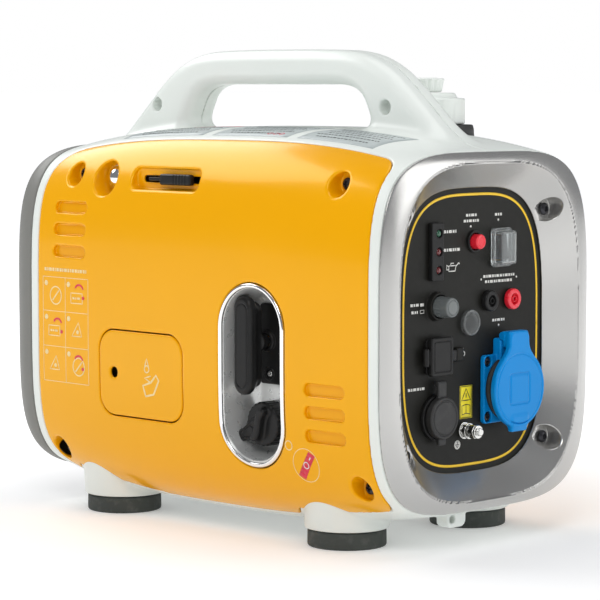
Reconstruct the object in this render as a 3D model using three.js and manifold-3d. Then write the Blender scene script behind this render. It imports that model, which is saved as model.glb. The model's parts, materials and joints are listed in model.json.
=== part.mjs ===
// Portable inverter generator. Millimetres: +X faces the control panel, -Y is the starter side,
// +Z is up. The origin is the centre of the footprint, on the ground.
import * as THREE from "three";
import { mergeVertices } from "three/addons/utils/BufferGeometryUtils.js";
import Module from "manifold-3d";

const wasm = await Module();
wasm.setup();

// ---- Driving dimensions -------------------------------------------------------------------
const BODY_LENGTH = 378; // rear rim to front seam
const FRONT_HALF_WIDTH = 118.5;
const REAR_HALF_WIDTH = 115;
const HALF_HEIGHT = 132; // at both ends of the body
const SIDE_BULGE = 3.2; // extra half width at mid length
const CROWN = 15.5; // extra half height at mid length
const UNDERSIDE_Z = 27; // underside of the body, at both ends
const BODY_CENTRE_Z = UNDERSIDE_Z + HALF_HEIGHT;
const CROWN_Z = BODY_CENTRE_Z + HALF_HEIGHT + CROWN; // highest point of the body
const SECTION_POWER = 4.3; // squareness of the body's cross-section
const BULGE_POWER = 2.8; // how late the bulge fades towards the ends
const WALL = 3; // moulded wall of every cover
const GAP = 0.4; // clearance between separate pieces
const RUN = 0.6; // clearance round a moving piece

const COVER_FRONT = BODY_LENGTH / 2 - 9.4; // side covers, fore and aft edges
const COVER_REAR = -BODY_LENGTH / 2 + 9;
const COVER_EDGE_Y = 85; // where a side cover meets the white frame, top and bottom
const COVER_CORNER = 14;

const REAR_DEPTH = 32; // rear cover, beyond the rim
const REAR_ROUND = 27;
const BEZEL_RISE = 6; // ridge of the bezel, ahead of the seam
const RIDGE_HALF_WIDTH = 101;
const RIDGE_HALF_HEIGHT = 123;
const PANEL_SET_BACK = 14; // panel face, behind the seam
const PANEL_HALF_WIDTH = 80; // visible opening of the bezel at the panel
const PANEL_HALF_HEIGHT = 104;
const PANEL_THICKNESS = 3;

const FOOT_RADIUS = 29.5;
const FOOT_HEIGHT = 13;
const BOSS_RADIUS = 31.5;
const FOOT_Y = 68.6;
const FRONT_FOOT_X = BODY_LENGTH / 2 - 75.3;
const REAR_FOOT_X = -BODY_LENGTH / 2 + 58.9;
const FAIRING_RADIUS = 34.5; // white fairing round a foot, seen from above
const FAIRING_REACH = 66; // from the foot's axis forward to the fairing's tip

const HANDLE_X = -13;
const HANDLE_RISE = 59.5; // top of the handle, above the body
const HANDLE_TOP = CROWN_Z + HANDLE_RISE;
const HANDLE_HALF_WIDTH = 18;
const HANDLE_ROUND = 7;
const GRIP_BAR_DEPTH = 27;
const GRIP_BAR_UNDERSIDE = HANDLE_TOP - GRIP_BAR_DEPTH;

const CRANK_X_END = 46; // front end of the crankshaft
const PULLEY_RADIUS = 30; // to the middle of the wound rope
const ROPE_Z = 149;
const CRANK_Z = ROPE_Z - PULLEY_RADIUS; // the rope leaves from the top of the pulley
const ROPE_RADIUS = 2;
const STARTER_X = 56; // rope, grip, guide plate and pulley share this plane

const RECESS_X = 64.5; // chrome-lined starter recess in the left cover
const RECESS_Z = 125.5;
const RECESS_WIDTH = 68;
const RECESS_HEIGHT = 137;
const RECESS_FLOOR_Y = -91;

const CAP_X = 78; // fuel filler
const CAP_Y = 60;
const CAP_RADIUS = 30;
const CAP_HEIGHT = 24.1;
const CAP_BASE_Z = CROWN_Z + 2;
const CAP_TOP_Z = CAP_BASE_Z + CAP_HEIGHT;
const NECK_RADIUS = 24;
const NECK_BORE = 21;

// ---- Derived places -------------------------------------------------------------------------
const FRONT = BODY_LENGTH / 2; // seam between body and bezel
const REAR = -BODY_LENGTH / 2;
const PANEL_X = FRONT - PANEL_SET_BACK;
const FRONT_MOST = FRONT + BEZEL_RISE;
const REAR_MOST = REAR - REAR_DEPTH;

// ---- Materials ------------------------------------------------------------------------------
const material = (color, roughness, metalness = 0, extra = {}) =>
  new THREE.MeshStandardMaterial({ color, roughness, metalness, ...extra });
const YELLOW = material(0xf3b000, 0.25);
const WHITE = material(0xe8eee8, 0.45);
const SILVER = material(0xb9b9b6, 0.3, 0.7);
const GREY = material(0x82827a, 0.55);
const PANEL_BLACK = material(0x20201c, 0.45);
const BLACK = material(0x181818, 0.4);
const RUBBER = material(0x30342f, 0.85);
const CHROME = material(0xd8d8d8, 0.08, 1);
const STEEL = material(0x9a9a98, 0.35, 1);
const ALUMINIUM = material(0xb0b2b4, 0.5, 1);
const COPPER = material(0xa85f2c, 0.45, 1);
const BLUE = material(0x007ddc, 0.35);
const RED = material(0xeb283c, 0.4);
const SMOKE = material(0x6b6f70, 0.35);
const CLEAR = material(0xc9d2d2, 0.15, 0, { transparent: true, opacity: 0.4 });
const ROPE = material(0x1c1c1a, 0.9);
const TANK = material(0x2a2c2e, 0.6);

// ---- Shape helpers --------------------------------------------------------------------------
function solid(geometry) {
  const bare = geometry.clone();
  bare.deleteAttribute("normal");
  bare.deleteAttribute("uv");
  const merged = mergeVertices(bare, 1e-4);
  return new wasm.Manifold(
    new wasm.Mesh({
      numProp: 3,
      vertProperties: merged.attributes.position.array,
      triVerts: new Uint32Array(merged.index.array),
    }),
  );
}

function geometryOf(manifold) {
  const mesh = manifold.getMesh();
  const geometry = new THREE.BufferGeometry();
  geometry.setAttribute("position", new THREE.BufferAttribute(mesh.vertProperties, 3));
  geometry.setIndex(new THREE.BufferAttribute(mesh.triVerts, 1));
  geometry.computeVertexNormals();
  return geometry;
}

const unite = (...pieces) => pieces.reduce((a, b) => a.add(b));
const cut = (piece, ...tools) => tools.reduce((a, b) => a.subtract(b), piece);

// Facets round a full turn, from the count that a fine model would use.
const DETAIL = 0.5;
const facets = (sides) => Math.max(8, 2 * Math.round((sides * DETAIL) / 2));

// A box between two corners.
function block(x0, x1, y0, y1, z0, z1) {
  const box = new THREE.BoxGeometry(x1 - x0, y1 - y0, z1 - z0);
  return solid(box.translate((x0 + x1) / 2, (y0 + y1) / 2, (z0 + z1) / 2));
}

// A round bar along an axis; u and v are its place on the other two axes, in X, Y, Z order.
function rod(axis, radius, from, to, u, v, sides = 24, endRadius = radius) {
  const bar = new THREE.CylinderGeometry(endRadius, radius, to - from, facets(sides));
  const middle = (from + to) / 2;
  if (axis === "x") return solid(bar.rotateZ(-Math.PI / 2).translate(middle, u, v));
  if (axis === "y") return solid(bar.translate(u, middle, v));
  return solid(bar.rotateX(Math.PI / 2).translate(u, v, middle));
}

const ringBar = (axis, outer, bore, from, to, u, v, sides = 32) =>
  cut(rod(axis, outer, from, to, u, v, sides), rod(axis, bore, from - 1, to + 1, u, v, sides));

// A closed outline pushed along an axis: outlines are (y, z) for x, (x, z) for y, (x, y) for z.
function prism(axis, shape, from, to, bevel = 0) {
  const extruded = new THREE.ExtrudeGeometry(shape, {
    depth: to - from - 2 * bevel,
    bevelEnabled: bevel > 0,
    bevelThickness: bevel,
    bevelSize: bevel,
    bevelOffset: -bevel,
    bevelSegments: 1,
    curveSegments: 4,
  });
  extruded.translate(0, 0, bevel);
  if (axis === "x") {
    const turn = new THREE.Matrix4().set(0, 0, 1, 0, 1, 0, 0, 0, 0, 1, 0, 0, 0, 0, 0, 1);
    return solid(extruded.applyMatrix4(turn).translate(from, 0, 0));
  }
  if (axis === "y") return solid(extruded.rotateX(Math.PI / 2).translate(0, to, 0));
  return solid(extruded.translate(0, 0, from));
}

// A rectangle with round corners, centred on (u, v).
function roundRect(u, v, width, height, radius) {
  const w = width / 2;
  const h = height / 2;
  const r = Math.min(radius, w - 0.05, h - 0.05);
  const steps = 3;
  const points = [];
  for (const [x, y, start] of [
    [u + w - r, v + h - r, 0],
    [u - w + r, v + h - r, Math.PI / 2],
    [u - w + r, v - h + r, Math.PI],
    [u + w - r, v - h + r, 1.5 * Math.PI],
  ]) {
    for (let i = 0; i <= steps; i += 1) {
      const turn = start + (i * Math.PI) / (2 * steps);
      points.push(new THREE.Vector2(x + r * Math.cos(turn), y + r * Math.sin(turn)));
    }
  }
  return new THREE.Shape(points);
}

// A lathed profile of [radius, height] points about an axis; height runs along that axis.
function turned(axis, profile, u, v, sides = 32) {
  const points = profile.map(([r, h]) => new THREE.Vector2(r, h));
  const shape = new THREE.LatheGeometry(points, facets(sides));
  if (axis === "x") return solid(shape.rotateZ(-Math.PI / 2).translate(0, u, v));
  if (axis === "y") return solid(shape.translate(u, 0, v));
  return solid(shape.rotateX(Math.PI / 2).translate(u, v, 0));
}

// A solid through superelliptic sections across X, each { x, a, b, n }, in order of rising x.
const SECTION_STEPS = 32;
function loft(sections) {
  const positions = [];
  const triangles = [];
  for (const { x, a, b, n } of sections) {
    for (let i = 0; i < SECTION_STEPS; i += 1) {
      const turn = (2 * Math.PI * i) / SECTION_STEPS;
      const c = Math.cos(turn);
      const s = Math.sin(turn);
      positions.push(x, a * Math.sign(c) * Math.abs(c) ** (2 / n));
      positions.push(BODY_CENTRE_Z + b * Math.sign(s) * Math.abs(s) ** (2 / n));
    }
  }
  const last = sections.length - 1;
  const rearCap = sections.length * SECTION_STEPS;
  positions.push(sections[0].x, 0, BODY_CENTRE_Z, sections[last].x, 0, BODY_CENTRE_Z);
  for (let j = 0; j < SECTION_STEPS; j += 1) {
    const next = (j + 1) % SECTION_STEPS;
    for (let k = 0; k < last; k += 1) {
      const here = k * SECTION_STEPS;
      const ahead = here + SECTION_STEPS;
      triangles.push(here + j, here + next, ahead + next, here + j, ahead + next, ahead + j);
    }
    triangles.push(rearCap, next, j);
    triangles.push(rearCap + 1, last * SECTION_STEPS + j, last * SECTION_STEPS + next);
  }
  const geometry = new THREE.BufferGeometry();
  geometry.setAttribute("position", new THREE.Float32BufferAttribute(positions, 3));
  geometry.setIndex(triangles);
  return solid(geometry);
}

// The body's own section at x, drawn in by an inset.
function bodySection(x, inset) {
  const along = Math.min(1, Math.abs(x / FRONT));
  const swell = 1 - along ** BULGE_POWER;
  const share = THREE.MathUtils.clamp((x - REAR) / BODY_LENGTH, 0, 1);
  const halfWidth = THREE.MathUtils.lerp(REAR_HALF_WIDTH, FRONT_HALF_WIDTH, share);
  return {
    x,
    a: halfWidth + SIDE_BULGE * swell - inset,
    b: HALF_HEIGHT + CROWN * swell - inset,
    n: SECTION_POWER,
  };
}

const BODY_STATIONS = 6;
function bodySolid(inset, overhang = 0) {
  const xs = Array.from(
    { length: BODY_STATIONS + 1 },
    (_, i) => REAR + (BODY_LENGTH * i) / BODY_STATIONS,
  );
  if (overhang) {
    xs.unshift(REAR - overhang);
    xs.push(FRONT + overhang);
  }
  return loft(xs.map((x) => bodySection(x, inset)));
}

// The outside half width of the body at x and height z.
function sideY(x, z) {
  const { a, b, n } = bodySection(x, 0);
  return a * (1 - Math.abs((z - BODY_CENTRE_Z) / b) ** n) ** (1 / n);
}

// The body's upper surface at x and y.
function topZ(x, y) {
  const { a, b, n } = bodySection(x, 0);
  return BODY_CENTRE_Z + b * (1 - Math.abs(y / a) ** n) ** (1 / n);
}

const outer = bodySolid(0);
const inner = bodySolid(WALL, 2);
const skin = cut(outer, inner);

// ---- Model tree -----------------------------------------------------------------------------
const generator = new THREE.Group();
generator.position.x = -(FRONT_MOST + REAR_MOST) / 2;
const casing = new THREE.Group();
const controls = new THREE.Group();
const starter = new THREE.Group();
const engine = new THREE.Group();
generator.add(casing, controls, starter, engine);

function add(group, name, shape, finish) {
  const mesh = new THREE.Mesh(geometryOf(shape), finish);
  mesh.name = name;
  group.add(mesh);
}

// ---- Feet and bosses ------------------------------------------------------------------------
const feet = [
  ["front_left", FRONT_FOOT_X, -FOOT_Y],
  ["front_right", FRONT_FOOT_X, FOOT_Y],
  ["rear_left", REAR_FOOT_X, -FOOT_Y],
  ["rear_right", REAR_FOOT_X, FOOT_Y],
];
const BOSS_TOP = 70;
const BOSS_FLOOR = FOOT_HEIGHT + GAP;
const boss = (x, y, grow) => rod("z", BOSS_RADIUS + grow, BOSS_FLOOR - grow, BOSS_TOP, x, y, 28);

// The plan of a foot's fairing: a circle drawn out forward to a tip on the cover's edge.
function fairing(x, y, grow) {
  const tipY = Math.sign(y) * COVER_EDGE_Y;
  const radius = FAIRING_RADIUS + grow;
  const heading = Math.atan2(tipY - y, FAIRING_REACH);
  const spread = Math.acos(radius / Math.hypot(FAIRING_REACH, tipY - y));
  const steps = 20;
  const rim = Array.from({ length: steps + 1 }, (_, i) => {
    const turn = heading + spread + ((2 * Math.PI - 2 * spread) * i) / steps;
    return new THREE.Vector2(x + radius * Math.cos(turn), y + radius * Math.sin(turn));
  });
  const tip = new THREE.Vector2(x + FAIRING_REACH + grow, tipY);
  return prism("z", new THREE.Shape([...rim, tip]), 0, 100);
}

const footRods = feet.map(([, x, y]) => (grow) =>
  rod("z", FOOT_RADIUS + grow, -1, BOSS_FLOOR, x, y, 28),
);

for (const [corner, x, y] of feet) {
  const profile = [
    [0, 0],
    [FOOT_RADIUS - 3, 0],
    [FOOT_RADIUS, 3],
    [FOOT_RADIUS - 0.8, FOOT_HEIGHT],
    [0, FOOT_HEIGHT],
  ];
  add(casing, `foot_${corner}`, turned("z", profile, x, y, 24), RUBBER);
}

// ---- White frame, in two halves that also carry the handle ----------------------------------
function coverPlan(side, grow) {
  const reach = 60;
  const shape = roundRect(
    (COVER_FRONT + COVER_REAR) / 2,
    side * (COVER_EDGE_Y + reach / 2),
    COVER_FRONT - COVER_REAR + 2 * grow,
    reach + 2 * grow,
    COVER_CORNER,
  );
  return prism("z", shape, 0, CROWN_Z + 14);
}

const HANDLE_BASE = topZ(HANDLE_X + 175, 0) - WALL; // where the legs sink into the shell
// Half of an arched outline, mirrored about the handle's middle; points are [x, z], z rising.
function archShape(halfPoints) {
  const right = halfPoints.map(([x, z]) => new THREE.Vector2(HANDLE_X + x, z));
  const left = halfPoints.map(([x, z]) => new THREE.Vector2(HANDLE_X - x, z)).reverse();
  return new THREE.Shape([...right, ...left]);
}

// Points on a round shoulder from a leg's [x, z] to the bar's, bulging to a corner point.
function shoulder([x0, z0], [xc, zc], [x1, z1], steps = 4) {
  return Array.from({ length: steps + 1 }, (_, i) => {
    const t = i / steps;
    const mix = (a, c, b) => (1 - t) ** 2 * a + 2 * t * (1 - t) * c + t ** 2 * b;
    return [mix(x0, xc, x1), mix(z0, zc, z1)];
  });
}

const archFloor = CROWN_Z - 8; // hidden under the crown
const handleOutline = archShape([
  [172, HANDLE_BASE],
  [152, HANDLE_TOP - 46],
  ...shoulder([119, HANDLE_TOP - 20], [97, HANDLE_TOP - 2], [60, HANDLE_TOP - 0.5]),
  [1, HANDLE_TOP],
]);
const gripOpening = archShape([
  [101, archFloor],
  ...shoulder([93, GRIP_BAR_UNDERSIDE - 16], [85, GRIP_BAR_UNDERSIDE], [66, GRIP_BAR_UNDERSIDE]),
]);
const handle = cut(
  prism("y", handleOutline, -HANDLE_HALF_WIDTH, HANDLE_HALF_WIDTH, HANDLE_ROUND),
  prism("y", gripOpening, -HANDLE_HALF_WIDTH - 1, HANDLE_HALF_WIDTH + 1),
);
const handleScrews = [
  [-145, HANDLE_TOP - 43],
  [104, HANDLE_TOP - 44],
];
const HANDLE_WELL_RADIUS = 6;
const HANDLE_WELL_DEPTH = 11;

const LUG = { y: -27, z: UNDERSIDE_Z - 4.5, width: 20, height: 13, from: FRONT - 16, to: FRONT - 4 };
const lug = cut(
  prism("x", roundRect(LUG.y, LUG.z, LUG.width, LUG.height, 5), LUG.from, LUG.to),
  rod("x", 3.2, LUG.from - 1, LUG.to + 1, LUG.y - 5, LUG.z, 14),
);

function frameHalf(side) {
  const far = 400;
  const half = side < 0
    ? block(-far, far, -far, -GAP / 2, -1, far)
    : block(-far, far, GAP / 2, far, -1, far);
  const bosses = feet
    .filter(([, , y]) => y * side > 0)
    .map(([, x, y]) => boss(x, y, 0));
  const footRooms = footRods.map((foot) => foot(GAP));
  const plates = feet
    .filter(([, , y]) => y * side > 0)
    .map(([, x, y]) => rod("z", BOSS_RADIUS, BOSS_FLOOR, BOSS_FLOOR + WALL, x, y, 28));
  const fairings = feet.filter(([, , y]) => y * side > 0).map(([, x, y]) => fairing(x, y, 0));
  const window = cut(coverPlan(side, GAP), ...fairings);
  let shape = cut(skin, window, ...footRooms);
  shape = unite(cut(unite(shape, handle, lug, ...bosses), inner), ...plates).intersect(half);
  for (const [x, z] of handleScrews) {
    const face = side * HANDLE_HALF_WIDTH;
    const floor = side * (HANDLE_HALF_WIDTH - HANDLE_WELL_DEPTH);
    const [from, to] = [Math.min(face * 1.1, floor), Math.max(face * 1.1, floor)];
    shape = cut(shape, rod("y", HANDLE_WELL_RADIUS, from, to, x, z, 20));
  }
  return shape;
}
add(casing, "frame_left", frameHalf(-1), WHITE);
const neckHole = rod("z", NECK_RADIUS + 1.5, CROWN_Z - 36, CROWN_Z + 14, CAP_X, CAP_Y, 32);
add(casing, "frame_right", cut(frameHalf(1), neckHole), WHITE);

// ---- Side covers ----------------------------------------------------------------------------
const SCREW_WELL_RADIUS = 9;
const SCREW_WELL_DEPTH = 12;
const SCREW_HEAD_RADIUS = 4.6;
const coverScrews = [
  ["rear_top", REAR + 45, BODY_CENTRE_Z + 109.5],
  ["front_top", FRONT - 47, BODY_CENTRE_Z + 109],
  ["rear_bottom", REAR + 23, BODY_CENTRE_Z - 110],
  ["front_bottom", FRONT - 25.5, BODY_CENTRE_Z - 108.5],
];
// Large bolt beside the choke, in a pocket of its own.
const DOME = { x: REAR + 83.7, z: BODY_CENTRE_Z + 107.4, well: 13.5, depth: 15, radius: 9 };
const VENT_WIDTH = 40;
const VENT_HEIGHT = 9.5;
const VENT_DEPTH = 2;
const vents = [
  ...[83.5, 66.2, 49].map((dz) => [REAR + 48, BODY_CENTRE_Z + dz]),
  ...[-39, -55.6, -72.7].map((dz) => [FRONT - 51, BODY_CENTRE_Z + dz]),
];
const ACCESS = { x: -56.5, z: 116.5, width: 95, height: 67, corner: 16 };
const CHOKE = { x: -36, z: BODY_CENTRE_Z + 108, width: 75, height: 16, depth: 7, slot: 5 };
const accessPrism = (grow) => {
  const { x, z, width, height, corner } = ACCESS;
  return prism("y", roundRect(x, z, width + 2 * grow, height + 2 * grow, corner), -200, -60);
};
const recessPrism = (grow, from, to) => {
  const width = RECESS_WIDTH + 2 * grow;
  const outline = roundRect(RECESS_X, RECESS_Z, width, RECESS_HEIGHT + 2 * grow, width / 2);
  return prism("y", outline, from, to);
};

// A moulded pocket in a side wall: its cup, and the hollow and bolt hole that are cut from it.
function pocket(side, x, z, radius, depth) {
  const face = sideY(x, z);
  const span = (near, far) => (side < 0 ? [-near, -far] : [far, near]);
  const [cupFrom, cupTo] = span(face + 20, face - depth - 2);
  const [holeFrom, holeTo] = span(face + 22, face - depth);
  return {
    cup: rod("y", radius + 2, cupFrom, cupTo, x, z, 20)
      .intersect(outer)
      .intersect(coverPlan(side, -GAP)),
    hole: rod("y", radius, holeFrom, holeTo, x, z, 20),
    bolt: rod("y", 2.4, -200 * (side < 0), 200 * (side > 0), x, z, 12),
  };
}

function sideCover(side) {
  let shape = skin.intersect(coverPlan(side, -GAP));
  const pockets = coverScrews.map(([, x, z]) => pocket(side, x, z, SCREW_WELL_RADIUS, SCREW_WELL_DEPTH));
  if (side < 0) pockets.push(pocket(side, DOME.x, DOME.z, DOME.well, DOME.depth));
  for (const { cup, hole, bolt } of pockets) {
    shape = cut(unite(shape, cup), hole, bolt);
  }
  for (const [x, z] of vents) {
    const mouth = side * (sideY(x, z) - VENT_DEPTH);
    const [from, to] = side < 0 ? [-200, mouth] : [mouth, 200];
    const slot = roundRect(x, z, VENT_WIDTH, VENT_HEIGHT, VENT_HEIGHT / 2 - 0.1);
    shape = cut(shape, prism("y", slot, from, to));
  }
  const ownFeet = feet.filter(([, , y]) => y * side > 0);
  return cut(
    shape,
    ...ownFeet.map(([, x, y]) => boss(x, y, GAP)),
    ...ownFeet.map(([, x, y]) => fairing(x, y, GAP)),
  );
}

const chokeFace = -sideY(CHOKE.x, CHOKE.z);
const chokeFloor = chokeFace + CHOKE.depth;
const chokeCup = prism(
  "y",
  roundRect(CHOKE.x, CHOKE.z, CHOKE.width + 4, CHOKE.height + 4, CHOKE.height / 2 + 1.9),
  -200,
  chokeFloor + 2,
).intersect(outer);
const chokeHollow = prism(
  "y",
  roundRect(CHOKE.x, CHOKE.z, CHOKE.width, CHOKE.height, CHOKE.height / 2 - 0.1),
  -200,
  chokeFloor,
);
const chokeSlot = block(
  CHOKE.x - 30,
  CHOKE.x + 34,
  -130,
  chokeFloor + 10,
  CHOKE.z - CHOKE.slot / 2,
  CHOKE.z + CHOKE.slot / 2,
);
const leftCover = cut(
  unite(sideCover(-1), chokeCup),
  chokeHollow,
  chokeSlot,
  accessPrism(GAP),
  recessPrism(GAP, -200, -60),
);
add(casing, "side_cover_left", leftCover, YELLOW);
add(casing, "side_cover_right", sideCover(1), YELLOW);

const HATCH_SCREW = [-87.3, 116.8]; // x, z
const HATCH_HOLE = 3.3;
const hatchFace = -sideY(...HATCH_SCREW);
const hatchFloor = hatchFace + 9;
const accessCover = cut(
  unite(
    skin.intersect(accessPrism(0)),
    rod("y", HATCH_HOLE + 2, hatchFace + 1, hatchFloor + 2, ...HATCH_SCREW, 16).intersect(outer),
  ),
  rod("y", HATCH_HOLE, -200, hatchFloor, ...HATCH_SCREW, 16),
  rod("y", 1.8, -200, 0, ...HATCH_SCREW, 10),
);
add(casing, "access_cover", accessCover, YELLOW);
const hatchScrewProfile = [
  [0, hatchFloor - GAP - 2.6],
  [2.6, hatchFloor - GAP - 2.6],
  [2.6, hatchFloor - GAP],
  [1.4, hatchFloor - GAP],
  [1.4, hatchFloor + 8],
  [0, hatchFloor + 8],
];
add(casing, "access_screw", turned("y", hatchScrewProfile, ...HATCH_SCREW, 16), BLACK);
const domeSeat = -(sideY(DOME.x, DOME.z) - DOME.depth) - GAP;
const domeProfile = [
  [0, domeSeat - 7.5],
  [DOME.radius * 0.55, domeSeat - 6.4],
  [DOME.radius * 0.86, domeSeat - 4.2],
  [DOME.radius, domeSeat - 1.6],
  [DOME.radius, domeSeat],
  [1.9, domeSeat],
  [1.9, domeSeat + 12],
  [0, domeSeat + 12],
];
add(casing, "dome_bolt", turned("y", domeProfile, DOME.x, DOME.z, 24), CHROME);

coverScrews.forEach(([place, x, z]) => {
  const seat = -(sideY(x, z) - SCREW_WELL_DEPTH) - GAP;
  const profile = [
    [0, seat - 3.6],
    [SCREW_HEAD_RADIUS - 1, seat - 3.6],
    [SCREW_HEAD_RADIUS, seat - 2.4],
    [SCREW_HEAD_RADIUS, seat],
    [1.9, seat],
    [1.9, seat + 12],
    [0, seat + 12],
  ];
  add(casing, `cover_screw_${place}`, turned("y", profile, x, z, 16), BLACK);
});

// ---- Rear cover -----------------------------------------------------------------------------
const LOUVRE = { width: 120, height: 6, pitch: 13, rows: 7, z: 196 };
const EXHAUST = { y: 52, z: 92, radius: 15 };
function domeSection(step, inset) {
  const angle = (Math.PI / 2) * step;
  const x = REAR - (REAR_DEPTH - REAR_ROUND) - (REAR_ROUND - inset) * Math.sin(angle);
  const draw = (REAR_ROUND - inset) * (1 - Math.cos(angle)) + inset;
  return { x, a: REAR_HALF_WIDTH - draw, b: HALF_HEIGHT - draw, n: SECTION_POWER };
}
function rearDome(inset, mouth) {
  const rim = { x: mouth, a: REAR_HALF_WIDTH - inset, b: HALF_HEIGHT - inset, n: SECTION_POWER };
  return loft([...[1, 0.8, 0.55, 0.3, 0].map((step) => domeSection(step, inset)), rim]);
}
let rearCover = cut(rearDome(0, REAR - GAP), rearDome(WALL, REAR + 5));
for (let row = 0; row < LOUVRE.rows; row += 1) {
  const z = LOUVRE.z - (row - (LOUVRE.rows - 1) / 2) * LOUVRE.pitch;
  rearCover = cut(
    rearCover,
    block(REAR_MOST - 1, REAR - 20, -LOUVRE.width / 2, LOUVRE.width / 2, z, z + LOUVRE.height),
  );
}
rearCover = cut(rearCover, rod("x", EXHAUST.radius, REAR_MOST - 1, REAR, EXHAUST.y, EXHAUST.z, 28));
add(casing, "rear_cover", rearCover, GREY);

// ---- Silver bezel ---------------------------------------------------------------------------
const RIDGE_X = FRONT + BEZEL_RISE;
const PANEL_POWER = 3.5;
const panelEdge = (grow, x) => ({
  x,
  a: PANEL_HALF_WIDTH + grow,
  b: PANEL_HALF_HEIGHT + grow,
  n: PANEL_POWER,
});
const seamX = FRONT + GAP;
const tuck = WALL + GAP + 0.2; // the bezel's skirt slips inside the frame's front ring
const bezelOuter = loft([
  { ...bodySection(FRONT, tuck), x: PANEL_X + GAP },
  { ...bodySection(FRONT, tuck), x: seamX - 0.02 },
  { ...bodySection(FRONT, 0), x: seamX },
  { ...bodySection(FRONT, 1.5), x: seamX + 2.2, n: 4.1 },
  { x: RIDGE_X - 1.2, a: RIDGE_HALF_WIDTH + 7, b: RIDGE_HALF_HEIGHT + 3.5, n: 3.8 },
  { x: RIDGE_X, a: RIDGE_HALF_WIDTH, b: RIDGE_HALF_HEIGHT, n: PANEL_POWER },
]);
const bezelHollow = loft([
  panelEdge(0, PANEL_X - 10),
  panelEdge(0, PANEL_X + 1.5),
  panelEdge(3, PANEL_X + 7),
  { x: RIDGE_X - 6, a: RIDGE_HALF_WIDTH - 8, b: RIDGE_HALF_HEIGHT - 7, n: PANEL_POWER },
  { x: RIDGE_X + 0.1, a: RIDGE_HALF_WIDTH - 2, b: RIDGE_HALF_HEIGHT - 2, n: PANEL_POWER },
]);
const bezelBackHollow = cut(
  loft([
    { ...bodySection(FRONT, tuck + 3), x: PANEL_X - 1 },
    { ...bodySection(FRONT, tuck + 3), x: FRONT - 3 },
  ]),
  loft([
    { ...panelEdge(9, PANEL_X - 2), n: 3.9 },
    { ...panelEdge(13, FRONT), n: 3.9 },
  ]),
);
const BEZEL_WELL = { y: 78, z: 86.5, radius: 8.5, floor: PANEL_X + 3 };
const bezelScrews = [
  ["top_left", -1, 1],
  ["top_right", 1, 1],
  ["bottom_left", -1, -1],
  ["bottom_right", 1, -1],
].map(([place, y, z]) => [place, y * BEZEL_WELL.y, BODY_CENTRE_Z + z * BEZEL_WELL.z]);
let bezel = cut(bezelOuter, bezelHollow, bezelBackHollow);
for (const [, y, z] of bezelScrews) {
  const post = rod("x", BEZEL_WELL.radius + 2, PANEL_X + GAP, FRONT, y, z, 20);
  bezel = unite(bezel, cut(post, bezelHollow));
}
for (const [place, y, z] of bezelScrews) {
  bezel = cut(
    bezel,
    rod("x", BEZEL_WELL.radius, BEZEL_WELL.floor, FRONT + 20, y, z, 20),
    rod("x", 2.4, PANEL_X - 5, FRONT, y, z, 12),
  );
  const seat = BEZEL_WELL.floor + GAP;
  const profile = [
    [0, seat - 5],
    [1.9, seat - 5],
    [1.9, seat],
    [SCREW_HEAD_RADIUS, seat],
    [SCREW_HEAD_RADIUS, seat + 2.4],
    [SCREW_HEAD_RADIUS - 1, seat + 3.6],
    [0, seat + 3.6],
  ];
  add(casing, `bezel_screw_${place}`, turned("x", profile, y, z, 16), BLACK);
}
add(casing, "front_bezel", bezel, SILVER);

// ---- Control panel and its devices ----------------------------------------------------------
const face = PANEL_X; // the panel's front face
const on = face + GAP; // the back of anything that sits on it
const AC = {
  y: 35,
  z: BODY_CENTRE_Z - 45.3,
  flange: 51,
  well: 19.5,
  body: 23.5,
  mouth: 12.4,
  depth: 17,
  lid: 18,
};
const LED = { y: -42.5, z: BODY_CENTRE_Z + 59.3, width: 13, height: 42, rise: 3.8 };
const RESET = { y: 2, z: BODY_CENTRE_Z + 65, radius: 5.6 };
const ECO = { y: 31.5, z: BODY_CENTRE_Z + 59.5 };
const RUN_BUTTON = { y: -40.5, z: BODY_CENTRE_Z + 19.5, radius: 7.8, collar: 10.4 };
const BANANA_Z = BODY_CENTRE_Z + 20.3;
const BANANA = { black: [18, BANANA_Z], red: [44, BANANA_Z], radius: 7.8 };
const PARALLEL = { y: -4, z: BODY_CENTRE_Z + 5.5, radius: 9.5 };
const USB = { y: -41.5, z: BODY_CENTRE_Z - 16.7, width: 23, height: 25 };
const DC = { y: -40.5, z: BODY_CENTRE_Z - 61.5, radius: 16, well: 10.5, depth: 22 };
const EARTH = { y: -9, z: BODY_CENTRE_Z - 74 };

const acNeck = AC.well + 2;
const dcNeck = DC.well + 2;
const panelHoles = [
  rod("x", acNeck + GAP, face - 20, face + 5, AC.y, AC.z, 36),
  rod("x", RESET.radius + RUN, face - 20, face + 5, RESET.y, RESET.z, 24),
  prism("x", roundRect(ECO.y, ECO.z, 12 + 2 * GAP, 20 + 2 * GAP, 0.5), face - 20, face + 5),
  rod("x", RUN_BUTTON.radius + RUN, face - 20, face + 5, RUN_BUTTON.y, RUN_BUTTON.z, 28),
  rod("x", 5 + GAP, face - 20, face + 5, ...BANANA.black, 16),
  rod("x", 5 + GAP, face - 20, face + 5, ...BANANA.red, 16),
  rod("x", 7 + GAP, face - 20, face + 5, PARALLEL.y, PARALLEL.z, 20),
  prism("x", roundRect(USB.y, USB.z, 19 + 2 * GAP, 21 + 2 * GAP, 1), face - 20, face + 5),
  rod("x", dcNeck + GAP, face - 20, face + 5, DC.y, DC.z, 28),
  rod("x", 3 + GAP, face - 20, face + 5, EARTH.y, EARTH.z, 16),
];
const collar = ringBar(
  "x",
  RUN_BUTTON.collar,
  RUN_BUTTON.radius + RUN,
  face - 1,
  face + 5,
  RUN_BUTTON.y,
  RUN_BUTTON.z,
  28,
);
const usbCatch = block(face - 1, face + 3.5, USB.y + 21, USB.y + 29, USB.z - 5.3, USB.z + 4.7);
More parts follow.
